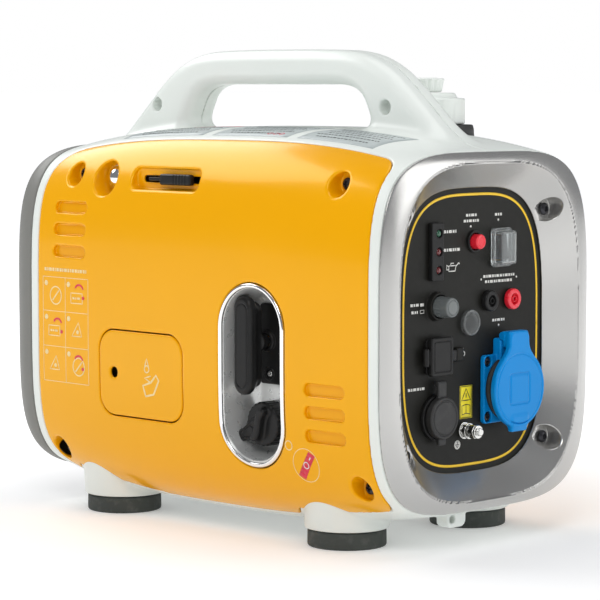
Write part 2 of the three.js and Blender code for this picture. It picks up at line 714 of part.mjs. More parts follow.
const panelPlate = loft([panelEdge(5, face - PANEL_THICKNESS), panelEdge(5, face)]);
add(controls, "control_panel", unite(cut(panelPlate, ...panelHoles), collar, usbCatch), PANEL_BLACK);

const acHinge = { x: face + 9, z: AC.z + 39.5, pin: 3, half: 11.5 };
const acBody = unite(
  prism("x", roundRect(AC.y, AC.z, AC.flange, AC.flange, 3), on, on + 4),
  rod("x", AC.body, on + 4, face + AC.mouth, AC.y, AC.z, 40),
  rod("x", acNeck, face - 18, on, AC.y, AC.z, 40),
  block(on, acHinge.x - GAP, AC.y - acHinge.half, AC.y + acHinge.half, AC.z + 20, AC.z + 37.5),
);
const acWell = rod("x", AC.well, face + AC.mouth - AC.depth, face + 30, AC.y, AC.z, 40);
const acHingeRoom = rod("y", acHinge.pin + RUN, AC.y - 20, AC.y + 20, acHinge.x, acHinge.z, 16);
const acPins = [-9.5, 9.5].map((dy) =>
  rod("x", 2.6, face - 15, face + 5, AC.y + dy, AC.z, 12),
);
const acFlangeHoles = [-1, 1].flatMap((dy) =>
  [-1, 1].map((dz) => rod("x", 2.3, on - 1, on + 5, AC.y + dy * 20.5, AC.z + dz * 20.5, 12)),
);
const acSocket = cut(acBody, acWell, acHingeRoom, ...acPins, ...acFlangeHoles);
add(controls, "ac_socket", acSocket, BLUE);

const LID_RADIUS = 29;
const lidBack = face + AC.mouth + RUN;
const lidTop = face + AC.lid;
const lidArm = [AC.y - acHinge.half + GAP, AC.y + acHinge.half - GAP];
const lidDisc = unite(
  rod("x", LID_RADIUS, lidBack, lidTop, AC.y, AC.z, 40),
  block(lidBack, lidTop, ...lidArm, AC.z + 10, AC.z + 43),
  block(acHinge.x + GAP, lidTop, ...lidArm, AC.z + 30, AC.z + 43),
  rod("y", acHinge.pin, ...lidArm, acHinge.x, acHinge.z, 16),
  block(lidBack, lidTop, AC.y - 9, AC.y + 9, AC.z - 31.5, AC.z - 20),
);
add(controls, "ac_lid", lidDisc, BLUE);

const ledStrip = cut(
  prism("x", roundRect(LED.y, LED.z, LED.width, LED.height, 1.5), on, on + LED.rise),
  ...[-13.4, 0, 13.4].map((dz) => rod("x", 2.6, on + LED.rise - 1.4, on + 9, LED.y + 1.5, LED.z + dz, 14)),
);
add(controls, "led_strip", ledStrip, BLACK);

const resetProfile = [
  [0, face - 8],
  [RESET.radius - 0.4, face - 8],
  [RESET.radius, face - 7],
  [RESET.radius, face + 6.5],
  [RESET.radius - 1.2, face + 7.6],
  [0, face + 7.6],
];
add(controls, "reset_button", turned("x", resetProfile, RESET.y, RESET.z, 24), RED);

const ecoBoot = cut(
  unite(
    prism("x", roundRect(ECO.y, ECO.z, 22, 29, 3), on, on + 3),
    prism("x", roundRect(ECO.y, ECO.z, 17, 25, 2.5), on + 3, on + 10),
  ),
  prism("x", roundRect(ECO.y, ECO.z, 15, 22.5, 1.5), on - 1, on + 8.6),
);
add(controls, "eco_boot", ecoBoot, CLEAR);
const ecoProfile = new THREE.Shape();
ecoProfile.moveTo(face - 9, ECO.z - 5);
ecoProfile.lineTo(face - 9, ECO.z + 5);
ecoProfile.lineTo(face + 1.6, ECO.z + 9);
ecoProfile.lineTo(face + 3.4, ECO.z);
ecoProfile.lineTo(face + 5.2, ECO.z - 9);
ecoProfile.lineTo(face + 0.8, ECO.z - 9);
ecoProfile.closePath();
add(controls, "eco_rocker", prism("y", ecoProfile, ECO.y - 5.4, ECO.y + 5.4), BLACK);

const runProfile = [
  [0, face - 12],
  [RUN_BUTTON.radius - 0.5, face - 12],
  [RUN_BUTTON.radius, face - 11],
  [RUN_BUTTON.radius, face + 15.5],
  [RUN_BUTTON.radius - 1.5, face + 17],
  [0, face + 17],
];
add(controls, "run_button", turned("x", runProfile, RUN_BUTTON.y, RUN_BUTTON.z, 28), SMOKE);

for (const [name, [y, z], finish] of [
  ["banana_socket_black", BANANA.black, BLACK],
  ["banana_socket_red", BANANA.red, RED],
]) {
  const profile = [
    [0, face - 14],
    [5, face - 14],
    [5, on],
    [BANANA.radius, on],
    [BANANA.radius, on + 3.4],
    [BANANA.radius - 1.4, on + 4.8],
    [4.4, on + 4.8],
    [4, on + 2.6],
    [2.3, on + 2.6],
    [2.1, face - 11],
    [0, face - 11],
  ];
  add(controls, name, turned("x", profile, y, z, 24), finish);
}

const parallelSocket = cut(
  unite(
    rod("x", PARALLEL.radius, on, on + 3, PARALLEL.y, PARALLEL.z, 28),
    rod("x", 7, face - 12, on, PARALLEL.y, PARALLEL.z, 20),
  ),
  ...[0, 1, 2, 3, 4].map((k) => {
    const turn = (2 * Math.PI * k) / 5;
    const y = PARALLEL.y + 4.8 * Math.cos(turn);
    return rod("x", 1.3, on - 5, on + 5, y, PARALLEL.z + 4.8 * Math.sin(turn), 8);
  }),
);
add(controls, "parallel_connector", parallelSocket, CLEAR);

const USB_PORT = { width: 5.6, height: 14 };
const usbSocket = cut(
  unite(
    prism("x", roundRect(USB.y, USB.z, USB.width, USB.height, 1.5), on, on + 2.4),
    prism("x", roundRect(USB.y, USB.z, 19, 21, 1), face - 16, on),
  ),
  ...[-4.5, 4.5].map((dy) =>
    prism("x", roundRect(USB.y + dy, USB.z, USB_PORT.width, USB_PORT.height, 0.4), face - 10, on + 5),
  ),
);
add(controls, "usb_socket", usbSocket, BLACK);
const usbHinge = { x: on + 4.2, y: USB.y - USB.width / 2 - 3 };
const usbCover = unite(
  prism("x", roundRect(USB.y + 0.5, USB.z, USB.width + 1, USB.height + 3, 2), on + 2.9, on + 7.4),
  block(on + 2.9, on + 5.5, usbHinge.y, USB.y, USB.z - 5, USB.z + 5),
  rod("z", 2.4, USB.z - 6.5, USB.z + 6.5, usbHinge.x, usbHinge.y, 14),
);
add(controls, "usb_cover", usbCover, BLACK);

const dcSocket = cut(
  unite(
    rod("x", DC.radius + 0.8, on, on + 3, DC.y, DC.z, 32),
    rod("x", dcNeck, face - 28, on, DC.y, DC.z, 28),
  ),
  rod("x", DC.well, face + 3.4 - DC.depth, face + 20, DC.y, DC.z, 28),
);
add(controls, "dc_socket", dcSocket, BLACK);
const dcHinge = { x: on + 2.6, z: DC.z + 25 };
const dcCap = unite(
  rod("x", DC.radius - 0.6, on + 3.4, on + 9.6, DC.y, DC.z, 32),
  block(on + 4.4, on + 7, DC.y - 4.5, DC.y + 4.5, DC.z, dcHinge.z),
  rod("y", 2.2, DC.y - 4.5, DC.y + 4.5, dcHinge.x + 1.9, dcHinge.z, 14),
  block(on + 4, on + 7, DC.y - 4, DC.y + 4, DC.z - DC.radius - 4, DC.z),
);
add(controls, "dc_cap", dcCap, RUBBER);

const earthProfile = [
  [0, face - 8],
  [2.9, face - 8],
  [2.9, on],
  [6, on],
  [6, on + 1.4],
  [2.9, on + 1.6],
  [2.9, on + 17.5],
  [0, on + 17.5],
];
add(controls, "earth_stud", turned("x", earthProfile, EARTH.y, EARTH.z, 20), STEEL);
const nutShape = new THREE.Shape(
  [0, 1, 2, 3, 4, 5].map((k) => {
    const turn = (Math.PI * k) / 3;
    return new THREE.Vector2(EARTH.y + 5.6 * Math.cos(turn), EARTH.z + 5.6 * Math.sin(turn));
  }),
);
const earthNut = cut(
  prism("x", nutShape, on + 8, on + 13),
  rod("x", 2.9 + GAP, on, on + 20, EARTH.y, EARTH.z, 20),
);
add(controls, "earth_nut", earthNut, STEEL);

// ---- Starter recess, grip, rope and pulley --------------------------------------------------
const LIP = 3;
const recessWall = 1.6;
const lip = skin.intersect(recessPrism(0, -200, -100));
const tub = cut(
  recessPrism(-LIP + recessWall, -sideY(RECESS_X, RECESS_Z) + 2, RECESS_FLOOR_Y + recessWall),
  recessPrism(-LIP, -200, RECESS_FLOOR_Y),
).intersect(outer);
const KNOB = { x: 62.5, z: 88, radius: 16.4 };
const GUIDE = { x: 69, z: 147, width: 38, height: 60, thickness: 2.2, hole: 5.5 };
const liner = cut(
  unite(cut(lip, recessPrism(-LIP, -200, -60)), tub),
  rod("y", GUIDE.hole + 2, -100, -80, STARTER_X, ROPE_Z, 20),
  rod("y", 4.6, -100, -80, KNOB.x, KNOB.z, 20),
);
add(starter, "recoil_recess", liner, CHROME);

const plateY = RECESS_FLOOR_Y - GAP;
const guideOutline = roundRect(GUIDE.x, GUIDE.z, GUIDE.width, GUIDE.height, 2);
const guidePlate = cut(
  unite(
    prism("y", guideOutline, plateY - GUIDE.thickness, plateY),
    rod("y", GUIDE.hole + 2.5, plateY - 4.5, plateY - 1, STARTER_X, ROPE_Z, 24),
  ),
  rod("y", ROPE_RADIUS + RUN, -120, -60, STARTER_X, ROPE_Z, 16),
);
add(starter, "guide_plate", guidePlate, BLACK);

const GRIP = { width: 19, height: 74, front: -117, back: -103, flange: -108 };
const gripFace = roundRect(STARTER_X - 4, ROPE_Z - 2, GRIP.width, GRIP.height, 9);
const gripCore = roundRect(STARTER_X - 2, ROPE_Z - 2, GRIP.width - 1, GRIP.height - 8, 8);
const grip = cut(
  unite(
    prism("y", gripFace, GRIP.front, GRIP.flange, 2),
    prism("y", gripCore, GRIP.flange - 1, GRIP.back, 1),
    rod("y", 6, GRIP.back - 2, plateY - 5.2, STARTER_X, ROPE_Z, 20, 5),
  ),
  rod("y", ROPE_RADIUS + GAP, GRIP.back, -80, STARTER_X, ROPE_Z, 16),
);
add(starter, "starter_grip", grip, BLACK);
add(starter, "starter_rope", rod("y", ROPE_RADIUS, GRIP.back + GAP, -8, STARTER_X, ROPE_Z, 10), ROPE);

const pulleyProfile = [
  [9, STARTER_X - 5],
  [PULLEY_RADIUS + 4, STARTER_X - 5],
  [PULLEY_RADIUS + 4, STARTER_X - 3.2],
  [PULLEY_RADIUS - 3, STARTER_X - 2.6],
  [PULLEY_RADIUS - 3, STARTER_X + 2.6],
  [PULLEY_RADIUS + 4, STARTER_X + 3.2],
  [PULLEY_RADIUS + 4, STARTER_X + 5],
  [9, STARTER_X + 5],
  [9, STARTER_X - 5],
];
const pawlDogs = [0, 1, 2].map((k) => {
  const turn = (2 * Math.PI * k) / 3;
  const y = 17 * Math.cos(turn);
  return rod("x", 3, STARTER_X - 8, STARTER_X - 4, y, CRANK_Z + 17 * Math.sin(turn), 12);
});
add(starter, "recoil_pulley", unite(turned("x", pulleyProfile, 0, CRANK_Z, 40), ...pawlDogs), SMOKE);

const CUP_RADIUS = PULLEY_RADIUS + 14;
const HOUSING = { outer: CUP_RADIUS, inner: CUP_RADIUS - 2.5, from: STARTER_X - 8, to: STARTER_X + 11 };
const housing = cut(
  unite(
    ringBar("x", HOUSING.outer, HOUSING.inner, HOUSING.from, HOUSING.to, 0, CRANK_Z, 36),
    rod("x", HOUSING.outer - 1, HOUSING.to - 3, HOUSING.to, 0, CRANK_Z, 36),
    rod("x", 9 - GAP, STARTER_X - 5, HOUSING.to - 1, 0, CRANK_Z, 20),
  ),
  rod("y", 5, -CUP_RADIUS, -5, STARTER_X, ROPE_Z, 14),
);
add(starter, "recoil_housing", housing, STEEL);

const knobFace = -110;
const knobShape = new THREE.Shape();
knobShape.absarc(KNOB.x, KNOB.z, KNOB.radius, Math.PI * 1.42, Math.PI * 1.08 + 2 * Math.PI);
knobShape.lineTo(KNOB.x - 19.5, KNOB.z - 12.5);
knobShape.lineTo(KNOB.x - 13.5, KNOB.z - 18.5);
knobShape.closePath();
const knob = unite(
  prism("y", knobShape, knobFace + 5, RECESS_FLOOR_Y - GAP - 2),
  prism("y", roundRect(KNOB.x, KNOB.z, 9, 28, 4), knobFace, knobFace + 6),
  rod("y", 4, RECESS_FLOOR_Y - 4, -72, KNOB.x, KNOB.z, 20),
);
add(starter, "engine_knob", knob, BLACK);

// ---- Choke lever ----------------------------------------------------------------------------
const lever = unite(
  block(-43, -9, chokeFace + 0.6, chokeFloor - 1, CHOKE.z - 4.2, CHOKE.z + 4.2),
  block(-58, -42, chokeFloor - 3.4, chokeFloor - 1, CHOKE.z - 1.4, CHOKE.z + 1.4),
  block(-32, -20, chokeFloor - 2, chokeFloor + 14, CHOKE.z - 1.8, CHOKE.z + 1.8),
);
add(engine, "choke_lever", lever, BLACK);

// ---- Fuel tank, filler and cap --------------------------------------------------------------
const TANK_FLOOR = CROWN_Z - 64.5;
const tankRoom = block(-46, 126, -74, 104, TANK_FLOOR, CROWN_Z);
const tankSpace = block(-43, 123, -71, 101, TANK_FLOOR + 3, CROWN_Z);
const NECK_TOP = CAP_BASE_Z + 4;
const tank = cut(
  unite(
    bodySolid(WALL + 6).intersect(tankRoom),
    rod("z", NECK_RADIUS, TANK_FLOOR + 20, NECK_TOP, CAP_X, CAP_Y, 32),
  ),
  bodySolid(WALL + 9).intersect(tankSpace),
  rod("z", NECK_BORE, TANK_FLOOR + 20, NECK_TOP + 2, CAP_X, CAP_Y, 32),
);
add(engine, "fuel_tank", tank, TANK);

const seal = cut(
  rod("z", CAP_RADIUS + 8, CAP_BASE_Z - 23.5, CAP_BASE_Z - GAP, CAP_X, CAP_Y, 36, CAP_RADIUS + 5.2),
  rod("z", NECK_RADIUS + 1.5, CAP_BASE_Z - 28, CAP_BASE_Z + 12, CAP_X, CAP_Y, 32),
  bodySolid(-GAP),
);
add(engine, "filler_seal", seal, RUBBER);

const capProfile = [
  [NECK_RADIUS + 1, CAP_BASE_Z],
  [CAP_RADIUS, CAP_BASE_Z],
  [CAP_RADIUS, CAP_TOP_Z - 8],
  [CAP_RADIUS - 4, CAP_TOP_Z - 2.5],
  [CAP_RADIUS - 8, CAP_TOP_Z],
  [0, CAP_TOP_Z],
  [0, NECK_TOP + 1],
  [NECK_RADIUS + 1, NECK_TOP + 1],
  [NECK_RADIUS + 1, CAP_BASE_Z],
];
add(engine, "fuel_cap", turned("z", capProfile, CAP_X, CAP_Y, 36), WHITE);
const ventProfile = [
  [0, CAP_TOP_Z + GAP],
  [11, CAP_TOP_Z + GAP],
  [13, CAP_TOP_Z + 9],
  [12, CAP_TOP_Z + 11.2],
  [0, CAP_TOP_Z + 11.2],
];
add(engine, "fuel_cap_vent", turned("z", ventProfile, CAP_X, CAP_Y, 28), WHITE);

// ---- Engine ---------------------------------------------------------------------------------
const SHAFT_RADIUS = 9;
const CASE = { from: -98, to: -24, halfWidth: 52, low: 60, high: CRANK_Z + 48 };
const fins = [0, 1, 2, 3, 4].map((k) => {
  const z = CASE.high + 5 + k * 9;
  return block(-95, -27, -38, 38, z, z + 3);
});
const crankcase = cut(
  unite(
    block(CASE.from, CASE.to, -CASE.halfWidth, CASE.halfWidth, CASE.low, CASE.high),
    rod("z", 27, CASE.high - 1, CASE.high + 48, -61, 0, 28),
    ...fins,
  ),
  rod("x", 35, CASE.from + 10, CASE.to - 10, 0, CRANK_Z, 32),
  rod("x", SHAFT_RADIUS + GAP, CASE.from - 1, CASE.to + 1, 0, CRANK_Z, 24),
);
add(engine, "crankcase", crankcase, ALUMINIUM);
const headLow = CASE.high + 48 + GAP;
add(
  engine,
  "cylinder_head",
  unite(
    block(-96, -26, -40, 40, headLow, headLow + 9),
    block(-88, -34, -30, 30, headLow + 8, headLow + 19),
  ),
  ALUMINIUM,
);
const webs = [
  rod("x", 31, CASE.from + 14, CASE.from + 22, 0, CRANK_Z, 28),
  rod("x", 31, CASE.to - 22, CASE.to - 14, 0, CRANK_Z, 28),
  rod("x", 8, CASE.from + 20, CASE.to - 20, 0, CRANK_Z - 19, 20),
];
const crankshaft = unite(
  rod("x", SHAFT_RADIUS, CASE.from - 6, CASE.from + 15, 0, CRANK_Z, 24),
  rod("x", SHAFT_RADIUS, CASE.to - 15, CRANK_X_END, 0, CRANK_Z, 24),
  ...webs,
);
add(engine, "crankshaft", crankshaft, STEEL);

const ROTOR = { outer: 52, inner: 46, from: -3, web: 26, to: 32 };
const vanes = Array.from({ length: 8 }, (_, k) => {
  const vane = new THREE.BoxGeometry(9, 28, 2.2);
  vane.translate(ROTOR.to + 3.5, 36, 0).rotateX((2 * Math.PI * k) / 8);
  return solid(vane.translate(0, 0, CRANK_Z));
});
const rotor = unite(
  ringBar("x", ROTOR.outer, ROTOR.inner, ROTOR.from, ROTOR.to, 0, CRANK_Z, 40),
  ringBar("x", ROTOR.outer - 1, SHAFT_RADIUS + GAP, ROTOR.web, ROTOR.to, 0, CRANK_Z, 40),
  ...vanes,
);
add(engine, "flywheel_rotor", rotor, STEEL);

const stator = unite(
  ringBar("x", ROTOR.inner - 2, SHAFT_RADIUS + 6, 0, ROTOR.web - 3, 0, CRANK_Z, 36),
  ringBar("x", SHAFT_RADIUS + 14, SHAFT_RADIUS + 6, CASE.to + GAP, 1, 0, CRANK_Z, 28),
);
add(engine, "stator", stator, COPPER);

const carburettor = unite(
  rod("y", 14, 41, 66, -61, CASE.high + 20, 24),
  block(-75, -47, 53, 62, CASE.high - 8, CASE.high + 22),
);
add(engine, "carburettor", carburettor, ALUMINIUM);
add(
  engine,
  "air_cleaner",
  prism("y", roundRect(-61, CASE.high + 14, 74, 62, 8), 67, 96, 3),
  BLACK,
);
const muffler = unite(
  prism("x", roundRect(18, 150, 118, 116, 18), -182, -118, 5),
  rod("x", 9, REAR_MOST + 12, -178, EXHAUST.y, EXHAUST.z + 12, 24),
);
const exhaustBend = rod("x", 9, REAR_MOST + 4, REAR_MOST + 20, EXHAUST.y, EXHAUST.z, 24);
add(engine, "muffler", unite(muffler, exhaustBend), STEEL);

const INVERTER = { x: 108, length: 84, width: 128, low: 34, high: CRANK_Z - CUP_RADIUS - 9 };
const inverterPlan = roundRect(INVERTER.x, 0, INVERTER.length, INVERTER.width, 5);
add(
  engine,
  "inverter_module",
  prism("z", inverterPlan, INVERTER.low, INVERTER.high, 2),
  ALUMINIUM,
);
const fillerProfile = [
  [0, -66],
  [8, -66],
  [8, -60],
  [12, -60],
  [12, -53 + GAP],
  [0, -53 + GAP],
];
add(engine, "oil_filler_cap", turned("y", fillerProfile, -80, 84, 20), BLACK);

export default generator;
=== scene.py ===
"""Looks of a portable inverter generator: moulded shells, chrome starter recess and a full control panel.

Every new piece is a signed-distance shape in millimetres, turned into a fine quad mesh. Lengths run
along X from the middle of the body, and MID moves a finished piece to its place in the frame.
"""
import json
import math

import bpy
import numpy as np
import openvdb
from mathutils import Euler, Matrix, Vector


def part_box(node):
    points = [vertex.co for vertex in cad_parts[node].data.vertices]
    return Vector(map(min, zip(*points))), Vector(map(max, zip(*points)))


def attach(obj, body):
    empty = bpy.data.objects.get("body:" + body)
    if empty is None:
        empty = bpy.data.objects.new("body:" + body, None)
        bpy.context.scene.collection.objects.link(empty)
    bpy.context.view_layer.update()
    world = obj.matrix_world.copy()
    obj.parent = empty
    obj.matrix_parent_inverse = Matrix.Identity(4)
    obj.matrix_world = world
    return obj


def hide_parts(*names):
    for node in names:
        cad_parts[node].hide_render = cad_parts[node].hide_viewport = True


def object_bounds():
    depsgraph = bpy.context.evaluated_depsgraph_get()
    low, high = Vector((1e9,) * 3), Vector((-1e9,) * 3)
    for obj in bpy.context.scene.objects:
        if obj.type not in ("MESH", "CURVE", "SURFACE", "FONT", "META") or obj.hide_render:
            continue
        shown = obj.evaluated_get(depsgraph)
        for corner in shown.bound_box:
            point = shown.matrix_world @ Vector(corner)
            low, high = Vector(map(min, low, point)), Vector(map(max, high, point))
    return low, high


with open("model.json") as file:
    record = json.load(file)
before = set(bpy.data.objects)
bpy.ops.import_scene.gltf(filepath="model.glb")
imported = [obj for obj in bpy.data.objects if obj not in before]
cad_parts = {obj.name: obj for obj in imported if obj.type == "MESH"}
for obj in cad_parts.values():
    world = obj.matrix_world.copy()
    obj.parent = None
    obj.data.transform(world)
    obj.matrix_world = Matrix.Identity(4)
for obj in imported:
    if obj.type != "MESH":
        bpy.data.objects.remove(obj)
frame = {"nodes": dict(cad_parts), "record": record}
cad_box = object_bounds()

# ---- Driving sizes, in millimetres ----------------------------------------------------------
MM = 0.001


def box_mm(node):
    """Lowest and highest corner of a CAD node, in millimetres from the body's middle."""
    low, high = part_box(node)
    return np.array(low) / MM - (MID, 0, 0), np.array(high) / MM - (MID, 0, 0)


LENGTH = 378.0
REAR_DEPTH = 32.0
MID = cad_box[0][0] / MM + REAR_DEPTH + LENGTH / 2
FRONT, REAR = LENGTH / 2, -LENGTH / 2
FRONT_HALF_WIDTH, REAR_HALF_WIDTH, HALF_HEIGHT = 118.5, 115.0, 132.0
SIDE_BULGE, CROWN, AXIS_Z, POWER, FADE = 3.2, 15.5, 159.0, 4.3, 2.8
WALL, GAP = 3.0, 0.45
COVER_FRONT, COVER_REAR, COVER_EDGE_Y = FRONT - 9.4, REAR + 9.0, 85.0
FRONT_CORNER, REAR_CORNER = 13.0, 27.0
PANEL_X = FRONT - 14.0
PANEL_A, PANEL_B, PANEL_POWER = 80.0, 104.0, 3.5
RIDGE_A, RIDGE_B, RIDGE_RISE = 101.0, 123.0, 6.0
FEET = {
    place: (box_mm("foot_" + place)[0] + box_mm("foot_" + place)[1])[:2] / 2
    for place in ("front_left", "front_right", "rear_left", "rear_right")
}
FOOT_TOP = 13.0
SCREW_WELLS = [(-144, 268.5), (142, 268), (-166, 49), (163.5, 50.5)]
DOME_WELL = (-105.3, 266.4)
VENTS = [(-141, z) for z in (242.5, 225.2, 208)] + [(138, z) for z in (120, 103.4, 86.3)]
HATCH = (-56.5, 116.5, 47.5, 33.5, 16)
CHOKE = (-36, 267, 37.5, 8)
RECESS = (64.5, 125.5, 34, 68.5)
RECESS_FLOOR = -91.0
STARTER_X, ROPE_Z = 56.0, 149.0
HANDLE_X = -13.0


# ---- Distance shapes ------------------------------------------------------------------------
def smax(a, b, k):
    """Greater of two distances, with the edge between them rounded over a width of k."""
    h = np.maximum(k - np.abs(a - b), 0) / k
    return np.maximum(a, b) + h * h * k * 0.25


def smin(a, b, k):
    return -smax(-a, -b, k)


def length(*parts):
    return np.sqrt(sum(p * p for p in parts))


def oval(y, z, a, b, n):
    """Distance to a superellipse about the body's axis."""
    u, v = np.abs(y) / a, np.abs(z - AXIS_Z) / b
    s = np.maximum((u**n + v**n) ** (1 / n), 0.3)
    slope = np.sqrt((u ** (n - 1) / a) ** 2 + (v ** (n - 1) / b) ** 2) * s ** (1 - n)
    return (s - 1) / np.maximum(slope, 1e-4)


def ratio(y, z, a, b, n):
    return ((np.abs(y) / a) ** n + (np.abs(z - AXIS_Z) / b) ** n) ** (1 / n)


def half_sizes(x):
    swell = 1 - np.minimum(1, np.abs(x / FRONT)) ** FADE
    share = np.clip((x - REAR) / LENGTH, 0, 1)
    half_width = REAR_HALF_WIDTH + (FRONT_HALF_WIDTH - REAR_HALF_WIDTH) * share
    return half_width + SIDE_BULGE * swell, HALF_HEIGHT + CROWN * swell


def hull(x, y, z):
    """Distance to the barrel-shaped body."""
    a, b = half_sizes(x)
    return oval(y, z, a, b, POWER)


def side_y(x, z):
    a, b = half_sizes(np.asarray(x, float))
    return a * (1 - np.abs((z - AXIS_Z) / b) ** POWER) ** (1 / POWER)


def top_z(x, y):
    a, b = half_sizes(np.asarray(x, float))
    return AXIS_Z + b * (1 - np.abs(y / a) ** POWER) ** (1 / POWER)


def rrect(u, v, half_u, half_v, r):
    """Distance in a plane to a rectangle with round corners, about the origin."""
    r = min(r, half_u, half_v)
    p, q = np.abs(u) - half_u + r, np.abs(v) - half_v + r
    return np.minimum(np.maximum(p, q), 0) + length(np.maximum(p, 0), np.maximum(q, 0)) - r


def push(outline, w, low, high, r=0.5):
    """A plane outline pushed from low to high along w, with edges of radius r."""
    p, q = outline + r, np.abs(w - (low + high) / 2) - (high - low) / 2 + r
    return np.minimum(np.maximum(p, q), 0) + length(np.maximum(p, 0), np.maximum(q, 0)) - r


def disc(u, v, cu, cv, radius):
    return length(u - cu, v - cv) - radius


def block(x, y, z, low, high, r=0.5):
    """A box between two corners, with edges of radius r."""
    outline = rrect(x - (low[0] + high[0]) / 2, y - (low[1] + high[1]) / 2,
                    (high[0] - low[0]) / 2, (high[1] - low[1]) / 2, r)
    return push(outline, z, low[2], high[2], r)


def spike(u, v, a, b, ra, rb):
    """Plane distance to a round pin that tapers from radius ra at a to rb at b."""
    reach = math.hypot(b[0] - a[0], b[1] - a[1])
    du, dv = (b[0] - a[0]) / reach, (b[1] - a[1]) / reach
    t = (u - a[0]) * du + (v - a[1]) * dv
    s = np.abs(-(u - a[0]) * dv + (v - a[1]) * du)
    lean = (ra - rb) / reach
    rise = math.sqrt(1 - lean * lean)
    along = np.clip(t + s * lean / rise, 0, reach)
    return length(s, t - along) - (ra - lean * along)


def rounded(points, passes=3):
    """A closed outline with its corners cut smooth."""
    p = np.array(points, float)
    for _ in range(passes):
        ahead = np.roll(p, -1, axis=0)
        p = np.stack([0.75 * p + 0.25 * ahead, 0.25 * p + 0.75 * ahead], axis=1).reshape(-1, 2)
    return p


def inside_outline(u, v, outline):
    """Signed plane distance to a closed outline."""
    nearest, inside = None, False
    for (au, av), (bu, bv) in zip(outline, np.roll(outline, -1, axis=0)):
        eu, ev = bu - au, bv - av
        if eu * eu + ev * ev < 1e-9:
            continue
        wu, wv = u - au, v - av
        t = np.clip((wu * eu + wv * ev) / (eu * eu + ev * ev), 0, 1)
        gap = (wu - t * eu) ** 2 + (wv - t * ev) ** 2
        nearest = gap if nearest is None else np.minimum(nearest, gap)
        if abs(ev) > 1e-9:
            crosses = ((av > v) != (bv > v)) & (u < au + eu * (v - av) / ev)
            inside = inside ^ crosses
    return np.where(inside, -1, 1) * np.sqrt(nearest)


# ---- From distance to mesh ------------------------------------------------------------------
def slope_at(field, points, reach):
    axes = np.eye(3) * reach
    grad = [field(*(points + e).T) - field(*(points - e).T) for e in axes]
    grad = np.stack([np.broadcast_to(g, len(points)) for g in grad], axis=1) / (2 * reach)
    size = np.maximum(np.linalg.norm(grad, axis=1), 0.15)[:, None]
    return grad / size, size


def new_object(name, points, faces, finish, body, normals=None, smooth=True):
    mesh = bpy.data.meshes.new(name)
    mesh.from_pydata(((points + (MID, 0, 0)) * MM).tolist(), [], faces.tolist())
    mesh.update()
    mesh.polygons.foreach_set("use_smooth", [smooth] * len(mesh.polygons))
    if normals is not None:
        mesh.normals_split_custom_set_from_vertices(normals.tolist())
    obj = bpy.data.objects.new(name, mesh)
    bpy.context.scene.collection.objects.link(obj)
    obj.data.materials.append(finish)
    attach(obj, body)
    return obj


def carve(name, field, low, high, step, finish, body="chassis", stands_for=()):
    """Meshes the zero surface of a distance shape inside a box, and puts it on its body."""
    low = np.array(low, float) - 2.37 * step
    count = np.ceil((np.array(high, float) - low) / step + 2.5).astype(int) + 1
    axes = [(low[i] + step * np.arange(count[i])).astype(np.float32) for i in range(3)]
    values = field(*np.meshgrid(*axes, indexing="ij", sparse=True))
    values = np.clip(np.broadcast_to(values, tuple(count)), -3 * step, 3 * step).astype(np.float32)
    grid = openvdb.FloatGrid(background=3 * step)
    grid.copyFromArray(np.ascontiguousarray(values))
    points, quads = grid.convertToQuads(isovalue=0.0)
    points = points.astype(float) * step + low
    for _ in range(3):
        normal, size = slope_at(field, points, 0.12)
        value = np.broadcast_to(field(*points.T), len(points))[:, None]
        points -= normal * np.clip(value / size, -0.6 * step, 0.6 * step)
    normal, _ = slope_at(field, points, 0.25)
    corner = points[quads]
    facing = np.cross(corner[:, 2] - corner[:, 0], corner[:, 3] - corner[:, 1])
    if (facing * normal[quads[:, 0]]).sum() < 0:
        quads = quads[:, ::-1]
    obj = new_object(name, points, quads, finish, body, normal)
    if stands_for:
        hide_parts(*stands_for)
    return obj


